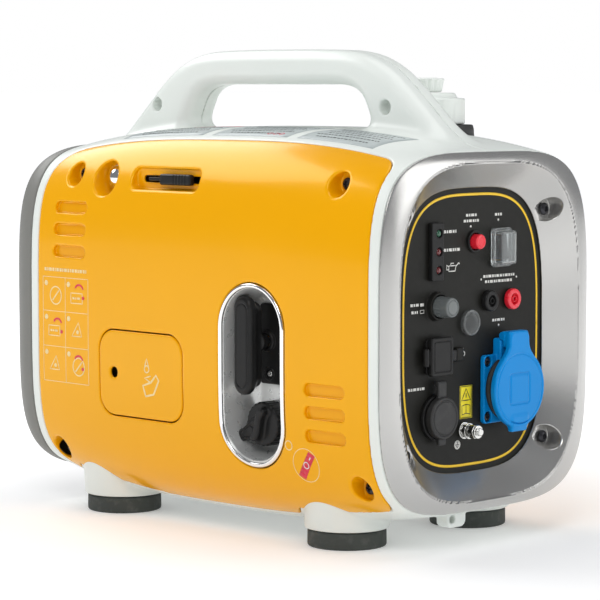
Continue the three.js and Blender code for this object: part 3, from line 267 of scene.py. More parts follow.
# ---- Materials ------------------------------------------------------------------------------
def material(name, color, rough, metal=0.0, coat=0.0, mottle=0.05, grain=(900, 0.05), spread=0.05,
             stretch=(1, 1, 1), clear=0.0, dust=0.0, sheen=0.0, shine=0.5, glint=(1, 1, 1)):
    """A moulded, cast, brushed or polished finish, with its variation from noise in the object's space."""
    m = bpy.data.materials.new(name)
    m.use_nodes = True
    tree = m.node_tree
    nodes, links = tree.nodes, tree.links
    shader = nodes["Principled BSDF"]
    shader.inputs["Metallic"].default_value = metal
    shader.inputs["Coat Weight"].default_value = coat
    shader.inputs["Coat Roughness"].default_value = 0.06
    shader.inputs["Transmission Weight"].default_value = clear
    shader.inputs["Specular IOR Level"].default_value = shine
    shader.inputs["Specular Tint"].default_value = (*glint, 1)
    shader.inputs["Coat Tint"].default_value = (*glint, 1)
    shader.inputs["Sheen Weight"].default_value = sheen
    place = nodes.new("ShaderNodeTexCoord")
    mapping = nodes.new("ShaderNodeMapping")
    mapping.inputs["Scale"].default_value = stretch
    links.new(place.outputs["Object"], mapping.inputs["Vector"])

    def noise(scale, detail):
        n = nodes.new("ShaderNodeTexNoise")
        n.inputs["Scale"].default_value = scale
        n.inputs["Detail"].default_value = detail
        links.new(mapping.outputs["Vector"], n.inputs["Vector"])
        return n.outputs["Fac"]

    def mix(factor, a, b):
        n = nodes.new("ShaderNodeMix")
        n.data_type = "RGBA"
        links.new(factor, n.inputs["Factor"])
        for socket, value in ((n.inputs["A"], a), (n.inputs["B"], b)):
            if isinstance(value, tuple):
                socket.default_value = (*value, 1)
            else:
                links.new(value, socket)
        return n.outputs["Result"]

    dark = tuple(max(0.0, c * (1 - mottle)) for c in color)
    light = tuple(min(1.0, c * (1 + mottle) + 0.02 * mottle) for c in color)
    tone = mix(noise(22, 3), dark, light)
    if dust:
        patch = nodes.new("ShaderNodeMapRange")
        patch.inputs["From Min"].default_value = 0.5
        patch.inputs["From Max"].default_value = 0.8
        patch.inputs["To Max"].default_value = dust
        links.new(noise(160, 6), patch.inputs["Value"])
        tone = mix(patch.outputs["Result"], tone, (0.32, 0.31, 0.28))
    links.new(tone, shader.inputs["Base Color"])
    span = nodes.new("ShaderNodeMapRange")
    span.inputs["To Min"].default_value = max(0.02, rough - spread)
    span.inputs["To Max"].default_value = min(1.0, rough + spread)
    links.new(noise(140, 5), span.inputs["Value"])
    links.new(span.outputs["Result"], shader.inputs["Roughness"])
    if grain[1]:
        bump = nodes.new("ShaderNodeBump")
        bump.inputs["Strength"].default_value = grain[1]
        bump.inputs["Distance"].default_value = 0.0004
        links.new(noise(grain[0], 4), bump.inputs["Height"])
        links.new(bump.outputs["Normal"], shader.inputs["Normal"])
    return m


WHITE = material("white_shell", (0.79, 0.83, 0.79), 0.36, coat=0.15, mottle=0.02, grain=(1500, 0.05))
YELLOW = material("yellow_shell", (0.88, 0.415, 0.0), 0.20, coat=0.12, mottle=0.02, grain=(700, 0.012),
                  glint=(1, 0.80, 0.25))
GREY = material("grey_plastic", (0.19, 0.19, 0.175), 0.48, mottle=0.06, grain=(1600, 0.16), dust=0.05)
SILVER = material("silver_bezel", (0.50, 0.495, 0.48), 0.25, metal=0.8, coat=0.2, mottle=0.01,
                  grain=(4200, 0.003), spread=0.01)
PANEL = material("panel_black", (0.013, 0.013, 0.011), 0.42, mottle=0.15, grain=(2600, 0.10),
                 dust=0.01, shine=0.15)
BLACK = material("black_plastic", (0.012, 0.012, 0.012), 0.30, mottle=0.2, grain=(1900, 0.08),
                 dust=0.01, shine=0.2)
RUBBER = material("rubber", (0.045, 0.052, 0.047), 0.72, mottle=0.12, grain=(1300, 0.3), dust=0.18)
SOFT = material("soft_black", (0.018, 0.018, 0.018), 0.55, mottle=0.15, grain=(1500, 0.18), dust=0.06)
SATIN = material("satin_chrome", (0.68, 0.69, 0.68), 0.28, metal=0.5, mottle=0.04, grain=(90, 0.01),
                 spread=0.03)
CHROME = material("chrome_trim", (0.80, 0.80, 0.80), 0.07, metal=1, mottle=0.03, grain=(120, 0.012),
                  spread=0.03)
STEEL = material("steel", (0.50, 0.50, 0.49), 0.30, metal=1, mottle=0.1, grain=(1100, 0.1), spread=0.1)
ZINC = material("zinc_plate", (0.66, 0.66, 0.64), 0.20, metal=1, mottle=0.08, grain=(900, 0.06),
                spread=0.08)
DARK_STEEL = material("screw_black", (0.045, 0.045, 0.05), 0.30, metal=0.8, mottle=0.2,
                      grain=(1300, 0.12))
CAST = material("cast_aluminium", (0.42, 0.43, 0.44), 0.48, metal=1, mottle=0.12, grain=(850, 0.5),
                spread=0.1)
COPPER = material("copper", (0.55, 0.22, 0.08), 0.35, metal=1, mottle=0.15, grain=(1500, 0.5),
                  stretch=(1, 8, 8))
BLUE = material("blue_plastic", (0.0, 0.245, 0.66), 0.34, mottle=0.05, grain=(1500, 0.06), shine=0.45,
                glint=(0.35, 0.65, 1))
RED = material("red_plastic", (0.80, 0.016, 0.035), 0.28, coat=0.3, mottle=0.06, grain=(1500, 0.05))
SMOKE = material("smoke_plastic", (0.20, 0.22, 0.22), 0.24, coat=0.3, mottle=0.1, grain=(900, 0.05),
                 clear=0.35)
CLEAR = material("clear_plastic", (0.86, 0.90, 0.90), 0.10, mottle=0.02, grain=(500, 0.04),
                 clear=0.92, spread=0.04)
TANK = material("tank_plastic", (0.03, 0.03, 0.034), 0.5, mottle=0.15, grain=(700, 0.2))
CORD = material("braided_rope", (0.02, 0.02, 0.018), 0.85, mottle=0.3, grain=(2600, 1.0),
                stretch=(1, 0.35, 1), sheen=0.4)
PRINT = material("print_white", (0.80, 0.80, 0.76), 0.5, mottle=0.05, grain=(2500, 0.05))
PALE = material("print_pale", (0.92, 0.72, 0.36), 0.42, mottle=0.05, grain=(2500, 0.05))
LINE = material("print_yellow", (0.95, 0.60, 0.02), 0.42, mottle=0.05, grain=(2500, 0.05))
LABEL = material("label_grey", (0.47, 0.52, 0.52), 0.32, mottle=0.04, grain=(2500, 0.03))
LABEL_RED = material("print_red", (0.72, 0.03, 0.07), 0.38, mottle=0.05, grain=(2500, 0.04))
INK = material("print_black", (0.02, 0.02, 0.02), 0.45, mottle=0.1, grain=(2500, 0.05))
STICKER = material("sticker_yellow", (0.88, 0.74, 0.02), 0.40, mottle=0.04, grain=(2500, 0.04))
LAMP_GREEN = material("lamp_green", (0.01, 0.09, 0.045), 0.12, coat=0.6, mottle=0.1, grain=(900, 0.02))
LAMP_RED = material("lamp_red", (0.12, 0.008, 0.01), 0.12, coat=0.6, mottle=0.1, grain=(900, 0.02))

BY_SLOT = {
    "white_shell": WHITE, "yellow_shell": YELLOW, "grey_plastic": GREY, "silver_bezel": SILVER,
    "panel_black": PANEL, "chrome_trim": CHROME, "black_plastic": BLACK, "tank_plastic": TANK,
    "rubber": RUBBER, "cast_aluminium": CAST, "steel": STEEL, "copper": COPPER, "blue_plastic": BLUE,
    "red_plastic": RED, "smoke_plastic": SMOKE, "clear_plastic": CLEAR, "braided_rope": CORD,
    "screw_black": DARK_STEEL,
}
for part in frame["record"]["subparts"]:
    node = frame["nodes"][part["node"]]
    node.data.materials.clear()
    node.data.materials.append(BY_SLOT[part["material_slot"]])


# ---- Camera, light and floor ----------------------------------------------------------------
def aim(obj, target):
    direction = Vector(target) - obj.location
    obj.rotation_euler = direction.to_track_quat("-Z", "Y").to_euler()


def soft_light(name, place, target, width, height, watts, tint=(1, 1, 1)):
    lamp = bpy.data.lights.new(name, "AREA")
    lamp.shape = "RECTANGLE"
    lamp.size, lamp.size_y = width, height
    lamp.energy = watts
    lamp.color = tint
    obj = bpy.data.objects.new(name, lamp)
    bpy.context.scene.collection.objects.link(obj)
    obj.location = place
    aim(obj, target)
    return obj


scene = bpy.context.scene
scene.view_settings.view_transform = "Standard"
camera_data = bpy.data.cameras.new("camera")
camera_data.sensor_width = 36.0
camera_data.lens = 158.98
camera = bpy.data.objects.new("camera", camera_data)
scene.collection.objects.link(camera)
camera.location = Vector((1434.4 + MID, -1488.2, 340.4)) * MM
camera.rotation_euler = Euler((math.radians(90 - 4.69), 0, math.radians(43.96)))
scene.camera = camera

world = bpy.data.worlds.new("studio")
scene.world = world
world.use_nodes = True
sky = world.node_tree.nodes["Background"]
sky.inputs["Color"].default_value = (0.93, 0.95, 1.0, 1)
sky.inputs["Strength"].default_value = 0.24
backdrop = world.node_tree.nodes.new("ShaderNodeBackground")
backdrop.inputs["Color"].default_value = (1, 1, 1, 1)
seen = world.node_tree.nodes.new("ShaderNodeLightPath")
either = world.node_tree.nodes.new("ShaderNodeMixShader")
world.node_tree.links.new(seen.outputs["Is Camera Ray"], either.inputs["Fac"])
world.node_tree.links.new(sky.outputs["Background"], either.inputs[1])
world.node_tree.links.new(backdrop.outputs["Background"], either.inputs[2])
world.node_tree.links.new(either.outputs["Shader"],
                          world.node_tree.nodes["World Output"].inputs["Surface"])
soft_light("band", (-1.45, -0.3, 1.5), (0, 0, 0.2), 2.0, 0.8, 22)
soft_light("key", (1.3, -1.9, 1.9), (0, 0, 0.15), 1.3, 1.1, 24)
soft_light("top", (0.2, 0.2, 2.2), (0, 0, 0.2), 1.5, 1.5, 14)
soft_light("right", (1.9, 1.2, 0.9), (0.1, 0, 0.2), 1.2, 1.2, 12)

sweep = material("floor", (0.88, 0.88, 0.88), 0.6, mottle=0.01, grain=(60, 0.01))
sweep_nodes, sweep_links = sweep.node_tree.nodes, sweep.node_tree.links
where = sweep_nodes.new("ShaderNodeTexCoord")
distance = sweep_nodes.new("ShaderNodeVectorMath")
distance.operation = "LENGTH"
sweep_links.new(where.outputs["Object"], distance.inputs[0])
glow = sweep_nodes.new("ShaderNodeMapRange")
glow.inputs["From Min"].default_value = 0.25
glow.inputs["From Max"].default_value = 1.3
glow.inputs["To Min"].default_value = 0.22
glow.inputs["To Max"].default_value = 0.85
sweep_links.new(distance.outputs["Value"], glow.inputs["Value"])
sweep_shader = sweep_nodes["Principled BSDF"]
sweep_shader.inputs["Emission Color"].default_value = (1, 1, 1, 1)
sweep_links.new(glow.outputs["Result"], sweep_shader.inputs["Emission Strength"])
floor_mesh = bpy.data.meshes.new("floor")
floor_mesh.from_pydata([(-60, -60, 0), (60, -60, 0), (60, 60, 0), (-60, 60, 0)], [], [(0, 1, 2, 3)])
floor = bpy.data.objects.new("floor", floor_mesh)
scene.collection.objects.link(floor)
floor_mesh.materials.append(sweep)


# ---- Body shells ----------------------------------------------------------------------------
def foot_room(x, y, z):
    """Distance to the white fairings round the feet, drawn out forwards."""
    plan = np.minimum(*(
        spike(x, np.abs(y), (fx, abs(fy)), (fx + 66, COVER_EDGE_Y), 34.5, 2)
        for fx, fy in (FEET["front_left"], FEET["rear_left"])
    ))
    return np.maximum(plan, z - 100)


def cover_plan(x, y):
    """Plane distance to a side cover's outline, seen from above."""
    v = np.abs(y) - COVER_EDGE_Y - 60
    middle, half = (COVER_FRONT + COVER_REAR) / 2, (COVER_FRONT - COVER_REAR) / 2
    sharp = rrect(x - middle, v, half, 60, FRONT_CORNER)
    full = rrect(x - middle, v, half, 60, REAR_CORNER)
    return np.where(x > middle, sharp, full)


HANDLE_BASE = 286.0
outer_arch = [(176, HANDLE_BASE), (176, 298), (152, 320), (134, 337), (112, 354), (84, 364.5),
              (40, 366), (0, 366)]
inner_arch = [(101, HANDLE_BASE - 20), (101, 303), (96, 318), (88, 333), (72, 339), (50, 339), (0, 339)]


def mirrored(half):
    points = [(HANDLE_X + x, z) for x, z in half]
    return points + [(2 * HANDLE_X - x, z) for x, z in reversed(points[:-1])]


ARCH = rounded(mirrored(outer_arch), 2)
OPENING = rounded(mirrored(inner_arch), 2)
HANDLE_SCREWS = [(-145, 323), (104, 322)]


def handle(x, y, z):
    plan = smax(inside_outline(x, z, ARCH), -inside_outline(x, z, OPENING), 2)
    return push(plan, y, -18, 18, 11)


def lug_shape(x, y, z):
    """A small tie-down lug under the front edge."""
    eye = rrect(y + 27, z - 22.5, 10, 6.5, 5)
    lug = push(eye, x, FRONT - 16, FRONT - 4, 1.2)
    return smax(lug, -disc(y, z, -32, 22.5, 3.2), 0.8)


def frame_shape(x, y, z):
    body = hull(x, y, z)
    seat = -smax(cover_plan(x, y), -foot_room(x, y, z), 2)
    skin = smax(body, seat + GAP / 2, 1.2)
    skin = smax(skin, np.abs(x) - FRONT, 1.4)
    solid = smin(skin, smax(handle(x, y, z), 280 - z, 1), 13)
    for fx, fy in FEET.values():
        cone = length(x - fx, y - fy) - 31.5 - 0.05 * (z - FOOT_TOP)
        boss = smax(smax(cone, FOOT_TOP + 0.5 - z, 1.5), z - 75, 1)
        solid = smin(solid, boss, 3)
    solid = smin(solid, smax(lug_shape(x, y, z), body - 20, 1), 1.5)
    shell = smax(solid, -(body + WALL), 0.8)
    filler = length(x - 78, y - 60) - 25.6
    shell = smax(shell, -smax(filler, 270 - z, 1), 1)
    for sx, sz in HANDLE_SCREWS:
        well = smax(length(x - sx, z - sz) - 5.6, 7.5 - np.abs(y), 1)
        shell = smax(shell, -well, 1.6)
    return shell


for side, node in ((-1, "frame_left"), (1, "frame_right")):
    low, high = box_mm(node)

    def half_frame(x, y, z, side=side):
        return smax(frame_shape(x, y, z), 0.22 - side * y, 0.5)

    carve(node + "_shell", half_frame, low, high + (0, 0, 1), 1.45, WHITE, stands_for=[node])


def wells(x, z, y, places, radius, depth):
    """Round pockets cut into a side, and the cups that line them: (cut, cup)."""
    cut, cup = 1e3, 1e3
    for wx, wz in places:
        face = float(side_y(wx, wz))
        around = length(x - wx, z - wz)
        taper = 0.06 * (face - np.abs(y))
        cut = np.minimum(cut, smax(around - radius + taper, face - depth - np.abs(y), 1.5))
        cup = np.minimum(cup, smax(around - radius - 1.6, face - depth - 2 - np.abs(y), 1))
    return cut, cup


def cover_shape(x, y, z, side):
    body = hull(x, y, z)
    plan = smax(cover_plan(x, y), -foot_room(x, y, z), 2) + GAP / 2
    shell = smax(smax(body, -(body + WALL), 0.6), plan, 1.4)
    shell = np.maximum(shell, -side * y)
    rooms = [wells(x, z, y, SCREW_WELLS, 9, 12)]
    if side < 0:
        rooms.append(wells(x, z, y, [DOME_WELL], 13.5, 15))
    for cut, cup in rooms:
        shell = np.minimum(shell, smax(smax(cup, body, 0.5), plan, 0.5))
        shell = smax(shell, -cut, 2.2)
    for vx, vz in VENTS:
        outline = rrect(x - vx, z - vz, 19.5, 4.6, 4.6)
        pad = smax(smax(outline - 2.5, np.abs(body + 4.2) - 2.2, 0.6), plan, 0.5)
        slot = smax(outline, -(body + 3.4), 0.8)
        shell = smax(np.minimum(shell, pad), -slot, 0.9)
    return shell


def left_cover(x, y, z):
    body = hull(x, y, z)
    shell = cover_shape(x, y, z, -1)
    cx, cz, half_u, half_v = CHOKE
    face = float(side_y(cx, cz))
    tray = rrect(x - cx, z - cz, half_u, half_v, 5.5)
    cup = smax(smax(tray - 1.8, face - 9 - np.abs(y), 1), body, 0.5)
    shell = smax(np.minimum(shell, cup), -smax(tray, face - 7 - np.abs(y), 1), 2.4)
    shell = smax(shell, -smax(rrect(x - cx - 1.5, z - cz, 32, 2.6, 2.6), -y - 140, 1), 0.8)
    hx, hz, hu, hv, hr = HATCH
    shell = smax(shell, -(rrect(x - hx, z - hz, hu, hv, hr) - GAP), 1.2)
    rx, rz, ru, rv = RECESS
    return smax(shell, -(rrect(x - rx, z - rz, ru, rv, ru) - GAP), 1.4)


MARGIN = np.array([1.0, 1.0, 3.0])
cover_low, cover_high = box_mm("side_cover_left")
carve("side_cover_left_shell", left_cover, cover_low - MARGIN, cover_high + MARGIN, 1.25, YELLOW,
      stands_for=["side_cover_left"])
right_low, right_high = box_mm("side_cover_right")
carve("side_cover_right_shell", lambda x, y, z: cover_shape(x, y, z, 1), right_low - MARGIN,
      right_high + MARGIN,
      1.4, YELLOW, stands_for=["side_cover_right"])


def hatch(x, y, z):
    body = hull(x, y, z)
    hx, hz, hu, hv, hr = HATCH
    plate = smax(smax(body, -(body + WALL), 0.6), rrect(x - hx, z - hz, hu, hv, hr) + GAP, 1.4)
    hole = smax(length(x + 87.3, z - 116.8) - 4.0, -y - 140, 1)
    return np.maximum(smax(plate, -hole, 2.2), y)


hatch_low, hatch_high = box_mm("access_cover")
carve("access_cover_shell", hatch, hatch_low, hatch_high, 0.9, YELLOW, "access_cover",
      ["access_cover"])


# ---- Rear cover -----------------------------------------------------------------------------
def rear_cover(x, y, z):
    def dome(inset):
        outline = oval(y, z, REAR_HALF_WIDTH - inset, HALF_HEIGHT - inset, POWER)
        return push(outline, x, REAR - REAR_DEPTH + inset, REAR + 60, 27 - inset)

    shell = smax(dome(0), -dome(WALL), 0.6)
    shell = smax(shell, x - (REAR - GAP), 1.2)
    for row in range(7):
        mid = 196 - (row - 3) * 13 + 3
        slot = smax(rrect(y, z - mid, 60, 3, 3), x - (REAR - 12), 1)
        shell = smax(shell, -slot, 1.6)
    pipe = length(y - 52, z - 92)
    shell = smin(shell, smax(np.abs(pipe - 17.5) - 2, np.abs(x - REAR + REAR_DEPTH - 1.5) - 2.5, 1), 2)
    return smax(shell, -smax(pipe - 15, x - (REAR - 8), 1), 1.2)


rear_low, rear_high = box_mm("rear_cover")
carve("rear_cover_shell", rear_cover, rear_low - (1, 0, 0), rear_high, 1.5, GREY,
      stands_for=["rear_cover"])


# ---- Silver bezel ---------------------------------------------------------------------------
def bezel_height(y, z):
    outer = ratio(y, z, FRONT_HALF_WIDTH, HALF_HEIGHT, POWER)
    ridge = ratio(y, z, RIDGE_A, RIDGE_B, 3.5)
    inner = ratio(y, z, PANEL_A, PANEL_B, PANEL_POWER)
    rise = np.clip((1 - outer) / np.maximum(1 - outer + ridge - 1, 1e-4), 0, 1)
    fall = np.clip((1 - ridge) / np.maximum(1 - ridge + inner - 1, 1e-4), 0, 1)
    up = 1.2 + (RIDGE_RISE - 1.2) * (1 - (1 - rise) ** 1.9)
    down = RIDGE_RISE - 19 * (1.3 * fall - 0.3 * fall * fall)
    return FRONT + np.where(ridge > 1, up, down)


def bezel(x, y, z):
    height = bezel_height(y, z)
    e = 0.6
    lean = length(bezel_height(y + e, z) - bezel_height(y - e, z),
                  bezel_height(y, z + e) - bezel_height(y, z - e))
    top = (x - height) / np.sqrt(1 + np.minimum(lean / (2 * e), 2.5) ** 2)
    outer = oval(y, z, FRONT_HALF_WIDTH, HALF_HEIGHT, POWER)
    panel = oval(y, z, PANEL_A, PANEL_B, PANEL_POWER)
    tuck = smax(outer + 3.6, PANEL_X + 0.4 - x, 1)
    rim = smax(outer, FRONT + 0.45 - x, 1.2)
    solid = smax(smin(rim, tuck, 0.4), top, 1.6)
    solid = smax(solid, -(top + 3), 0.8)
    line = np.abs(oval(y, z, RIDGE_A, RIDGE_B, 3.5) - 0.8) - 0.3
    solid = smax(solid, -smax(line, -(top + 0.45), 0.2), 0.3)
    cups = 1e3
    cuts = 1e3
    for wy in (-78, 78):
        for wz in (AXIS_Z - 86.5, AXIS_Z + 86.5):
            around = length(y - wy, z - wz)
            cuts = np.minimum(cuts, smax(around - 8.8, PANEL_X + 3 - x, 0.8))
            cups = np.minimum(cups, smax(smax(around - 10.4, PANEL_X + 0.5 - x, 0.6), top, 0.5))
    solid = smax(np.minimum(solid, cups), -cuts, 1.0)
    return smax(solid, -panel, 1.2)


bezel_low, bezel_high = box_mm("front_bezel")
carve("front_bezel_trim", bezel, bezel_low, bezel_high, 1.0, SILVER, stands_for=["front_bezel"])

# ---- Control panel --------------------------------------------------------------------------
AC_Y, AC_Z = 35.0, 113.7
RESET = (2.0, 224.0)
ECO = (31.5, 218.5)
RUN = (-40.5, 178.5)
LED_Y, LED_Z = -42.5, (231.7, 218.3, 204.9)
BANANAS = {"black": (18.0, 179.3), "red": (44.0, 179.3)}
PARALLEL = (-4.0, 164.5)
USB = (-41.5, 142.3)
DC = (-40.5, 97.5)
EARTH = (-9.0, 85.0)


def panel_part(name, shape, low, high, step, finish, body="chassis", stands_for=()):
    """A piece on the panel: shape takes u, how far out of the panel, then y and z."""
    low, high = np.array(low, float) + (PANEL_X, 0, 0), np.array(high, float) + (PANEL_X, 0, 0)
    return carve(name, lambda x, y, z: shape(x - PANEL_X, y, z), low, high, step, finish, body,
                 stands_for)


def panel_plate(u, y, z):
    plate = push(oval(y, z, PANEL_A + 5, PANEL_B + 5, PANEL_POWER), u, -3, 0, 0.4)
    ring = disc(y, z, *RUN, 9.45)
    collar = push(np.abs(ring) - 0.95, u, -1, 5, 0.6)
    catch = block(u, y, z, (-1, -20.5, 137), (3.5, -12.5, 147), 0.8)
    plate = smin(smin(plate, collar, 0.8), catch, 0.8)
    for place, radius in ((RESET, 6.2), (RUN, 8.4)):
        plate = smax(plate, -disc(y, z, *place, radius), 0.5)
    slots = [rrect(y - ECO[0], z - ECO[1], 6.3, 10.3, 1), disc(y, z, AC_Y, AC_Z, 21),
             disc(y, z, *DC, 12.6)]
    slots.append(rrect(y - USB[0], z - USB[1], 9.7, 10.7, 1))
    for slot in slots:
        plate = smax(plate, -slot, 0.5)
    return plate


panel_part("control_panel_plate", panel_plate, (-3, -86, 49), (5, 86, 269), 1.0, PANEL,
           stands_for=["control_panel"])


def ac_base(u, y, z):
    plate = push(rrect(y - AC_Y, z - AC_Z, 25.5, 25.5, 3), u, 0.4, 4.4, 0.8)
    hinge = block(u, y, z, (0.4, AC_Y - 11.5, AC_Z + 20), (8.6, AC_Y + 11.5, AC_Z + 37.5), 1.5)
    shape = smin(plate, hinge, 1.5)
    for dy in (-20.5, 20.5):
        for dz in (-20.5, 20.5):
            shape = smax(shape, -smax(disc(y, z, AC_Y + dy, AC_Z + dz, 4.1), 1.6 - u, 0.4), 0.6)
    return smax(smax(shape, -disc(u, z, 9, AC_Z + 39.5, 3.6), 0.4), -disc(y, z, AC_Y, AC_Z, 21.2), 0.5)


def ac_seal(u, y, z):
    ring = push(np.abs(disc(y, z, AC_Y, AC_Z, 21.6)) - 2.1, u, 1, 12.4, 0.8)
    return smin(ring, push(np.abs(disc(y, z, AC_Y, AC_Z, 24)) - 0.6, u, 5.5, 7.2, 0.5), 1)


def ac_well(u, y, z):
    cup = push(disc(y, z, AC_Y, AC_Z, 21), u, -18, 11.6, 0.6)
    cup = smax(cup, -smax(disc(y, z, AC_Y, AC_Z, 19.4), -4.6 - u, 1), 0.6)
    for dy in (-9.5, 9.5):
        cup = smax(cup, -smax(disc(y, z, AC_Y + dy, AC_Z, 2.6), -15 - u, 0.5), 0.5)
    return cup


def ac_clips(u, y, z):
    strip = push(rrect(y - AC_Y, np.abs(z - AC_Z) - 18.2, 3, 0.7, 0.5), u, -5, 9, 0.4)
    bend = length(u - 6, np.abs(z - AC_Z) - 17.6) - 1.4
    return smin(strip, smax(bend, np.abs(y - AC_Y) - 3, 0.6), 0.8)


def ac_lid(u, y, z):
    arm = rrect(y - AC_Y, z - AC_Z - 28, 11, 15, 6)
    face = push(smin(disc(y, z, AC_Y, AC_Z, 29), arm, 9), u, 13, 18, 1.4)
    root = block(u, y, z, (9.5, AC_Y - 11, AC_Z + 31), (17, AC_Y + 11, AC_Z + 43), 1.6)
    pin = push(disc(u, z, 9, AC_Z + 39.5, 3), y, AC_Y - 11, AC_Y + 11, 0.6)
    tab = block(u, y, z, (13, AC_Y - 9, AC_Z - 32), (18, AC_Y + 9, AC_Z - 20), 1.6)
    shape = smin(smin(face, smin(root, pin, 1.5), 1.5), tab, 3)
    frame_line = np.abs(rrect(y - AC_Y, z - AC_Z, 11, 11, 1.5)) - 0.7
    shape = smax(shape, -smax(frame_line, 17.4 - u, 0.4), 0.8)
    shape = smax(shape, -smax(np.abs(disc(y, z, AC_Y, AC_Z, 26)) - 0.4, 17.6 - u, 0.3), 0.8)
    return smax(shape, -smax(disc(y, z, AC_Y, AC_Z, 20), u - 15, 1), 1)


panel_part("ac_flange", ac_base, (0, 8, 87), (10, 62, 153), 0.7, BLUE, stands_for=["ac_socket"])
panel_part("ac_seal_ring", ac_seal, (0, 10, 88), (13, 60, 139), 0.6, SOFT)
panel_part("ac_well_cup", ac_well, (-18, 13, 91), (12, 57, 136), 0.8, BLUE)
panel_part("ac_earth_clips", ac_clips, (-5, 31, 93), (10, 39, 134), 0.5, ZINC)
panel_part("ac_lid_cover", ac_lid, (5, 5, 80), (18.5, 65, 158), 0.7, BLUE, "ac_lid", ["ac_lid"])


def screw(name, center, axis, radius, rise, finish=DARK_STEEL, body="chassis", stands_for=(),
          drive="cross"):
    """A pan-head screw at center, its head rising along the outward axis ("+x" or "-y")."""
    cx, cy, cz = center

    def shape(x, y, z):
        out, v, w = (x - cx, y - cy, z - cz) if axis == "+x" else (cy - y, x - cx, z - cz)
        head = push(length(v, w) - radius, out, 0, rise, min(1.4, rise * 0.45))
        head = smax(head, length(v, w, out + radius * 1.3 - rise) - radius * 1.32, 0.4)
        arms = np.minimum(rrect(v, w, radius * 0.55, radius * 0.15, 0.3),
                          rrect(v, w, radius * 0.15, radius * 0.55, 0.3))
        if drive == "hex":
            arms = np.maximum(np.abs(v), 0.5 * np.abs(v) + 0.866 * np.abs(w)) - radius * 0.42
        return smax(head, -smax(arms, rise * 0.45 - out, 0.3), 0.3)

    pad = np.array([rise + 1] + [radius] * 2) if axis == "+x" else np.array([radius, rise + 1, radius])
    c = np.array(center, float)
    return carve(name, shape, c - pad, c + pad, radius / 9, finish, body, stands_for)


for i, (dy, dz) in enumerate(((-20.5, 20.5), (20.5, 20.5), (-20.5, -20.5), (20.5, -20.5))):
    screw(f"ac_flange_screw_{i}", (PANEL_X + 1.7, AC_Y + dy, AC_Z + dz), "+x", 3.6, 2.6)
for name in ("top_left", "top_right", "bottom_left", "bottom_right"):
    low, high = box_mm("bezel_screw_" + name)
    seat = (PANEL_X + 3.4, (low[1] + high[1]) / 2, (low[2] + high[2]) / 2)
    screw(f"bezel_screw_{name}_head", seat, "+x", 4.8, 4, stands_for=["bezel_screw_" + name],
          drive="hex")
for name in ("rear_top", "front_top", "rear_bottom", "front_bottom"):
    low, high = box_mm("cover_screw_" + name)
    seat = ((low[0] + high[0]) / 2, low[1] + 3.6, (low[2] + high[2]) / 2)
    screw(f"cover_screw_{name}_head", seat, "-y", 4.8, 3.8, stands_for=["cover_screw_" + name])
low, high = box_mm("access_screw")
hatch_seat = ((low[0] + high[0]) / 2, low[1] + 2.6, (low[2] + high[2]) / 2)
screw("access_screw_head", hatch_seat, "-y", 2.7, 2.6, body="access_cover", stands_for=["access_screw"])
dome_low, dome_high = box_mm("dome_bolt")


def dome(x, y, z):
    out = dome_low[1] + 7.5 - y
    around = length(x - DOME_WELL[0], z - DOME_WELL[1])
    washer = push(around - 10.5, out, 0, 1.4, 0.5)
    crown = smax(length(around, (out - 1) * 1.25) - 8.8, 0.5 - out, 0.5)
    return smin(washer, crown, 0.8)


carve("dome_bolt_cap", dome, dome_low - 2, (dome_high[0] + 2, dome_low[1] + 9, dome_high[2] + 2), 0.5,
      CHROME,
      stands_for=["dome_bolt"])


def led_plate(u, y, z):
    plate = push(rrect(y - LED_Y, z - 218.3, 6.5, 21, 1.2), u, 0.4, 4.2, 0.7)
    for lz in LED_Z:
        plate = smax(plate, -smax(disc(y, z, LED_Y + 1.5, lz, 3.3), 2.4 - u, 0.4), 0.6)
    return plate


panel_part("led_strip_plate", led_plate, (0, -50, 196), (5, -35, 241), 0.5, BLACK,
           stands_for=["led_strip"])
for i, lz in enumerate(LED_Z):
    panel_part(f"led_{i}", lambda u, y, z,
               lz=lz: smax(length(u - 1.9, y - LED_Y - 1.5, z - lz) - 2.7, 1.6 - u, 0.3),
               (1, -44.5, lz - 3), (5, -37.5, lz + 3), 0.35, LAMP_RED if i else LAMP_GREEN)


def reset_button(u, y, z):
    cap = push(disc(y, z, *RESET, 5.5), u, -8, 7.6, 1.3)
    return smax(cap, -smax(disc(y, z, *RESET, 3.4), 7 - u, 0.5), 0.8)


panel_part("reset_button_cap", reset_button, (-8, -4, 217), (8, 8, 231), 0.5, RED, "reset_button",
           ["reset_button"])
panel_part("reset_collar", lambda u, y,
           z: push(np.abs(disc(y, z, *RESET, 7.3)) - 0.9, u, 0.05, 2.2, 0.6),
           (0, -7, 215), (3, 11, 233), 0.5, BLACK)


def eco_boot(u, y, z):
    v, w = y - ECO[0], z - ECO[1]
    boot = smin(push(rrect(v, w, 11, 14.5, 3), u, 0.4, 3.4, 1),
                push(rrect(v, w, 8.5, 12.5, 2.4), u, 1, 10.4, 1.6), 1.2)
    return smax(boot, -smax(rrect(v, w, 7.4, 11.2, 1.6), u - 9.2, 1.2), 0.4)


def eco_rocker(u, y, z):
    v, w = y - ECO[0], z - ECO[1]
    profile = smax(smax(np.abs(w) - 8.8, u - 3.4 + 0.2 * w, 1), -9 - u + np.abs(w) * 0.45, 0.8)
    return smax(profile, np.abs(v) - 5.3, 0.8)


panel_part("eco_boot_clear", eco_boot, (0, 20, 203), (11, 43, 234), 0.5, CLEAR, stands_for=["eco_boot"])
panel_part("eco_rocker_key", eco_rocker, (-10, 25, 209), (6.5, 38, 229), 0.5, BLACK, "eco_rocker",
           ["eco_rocker"])


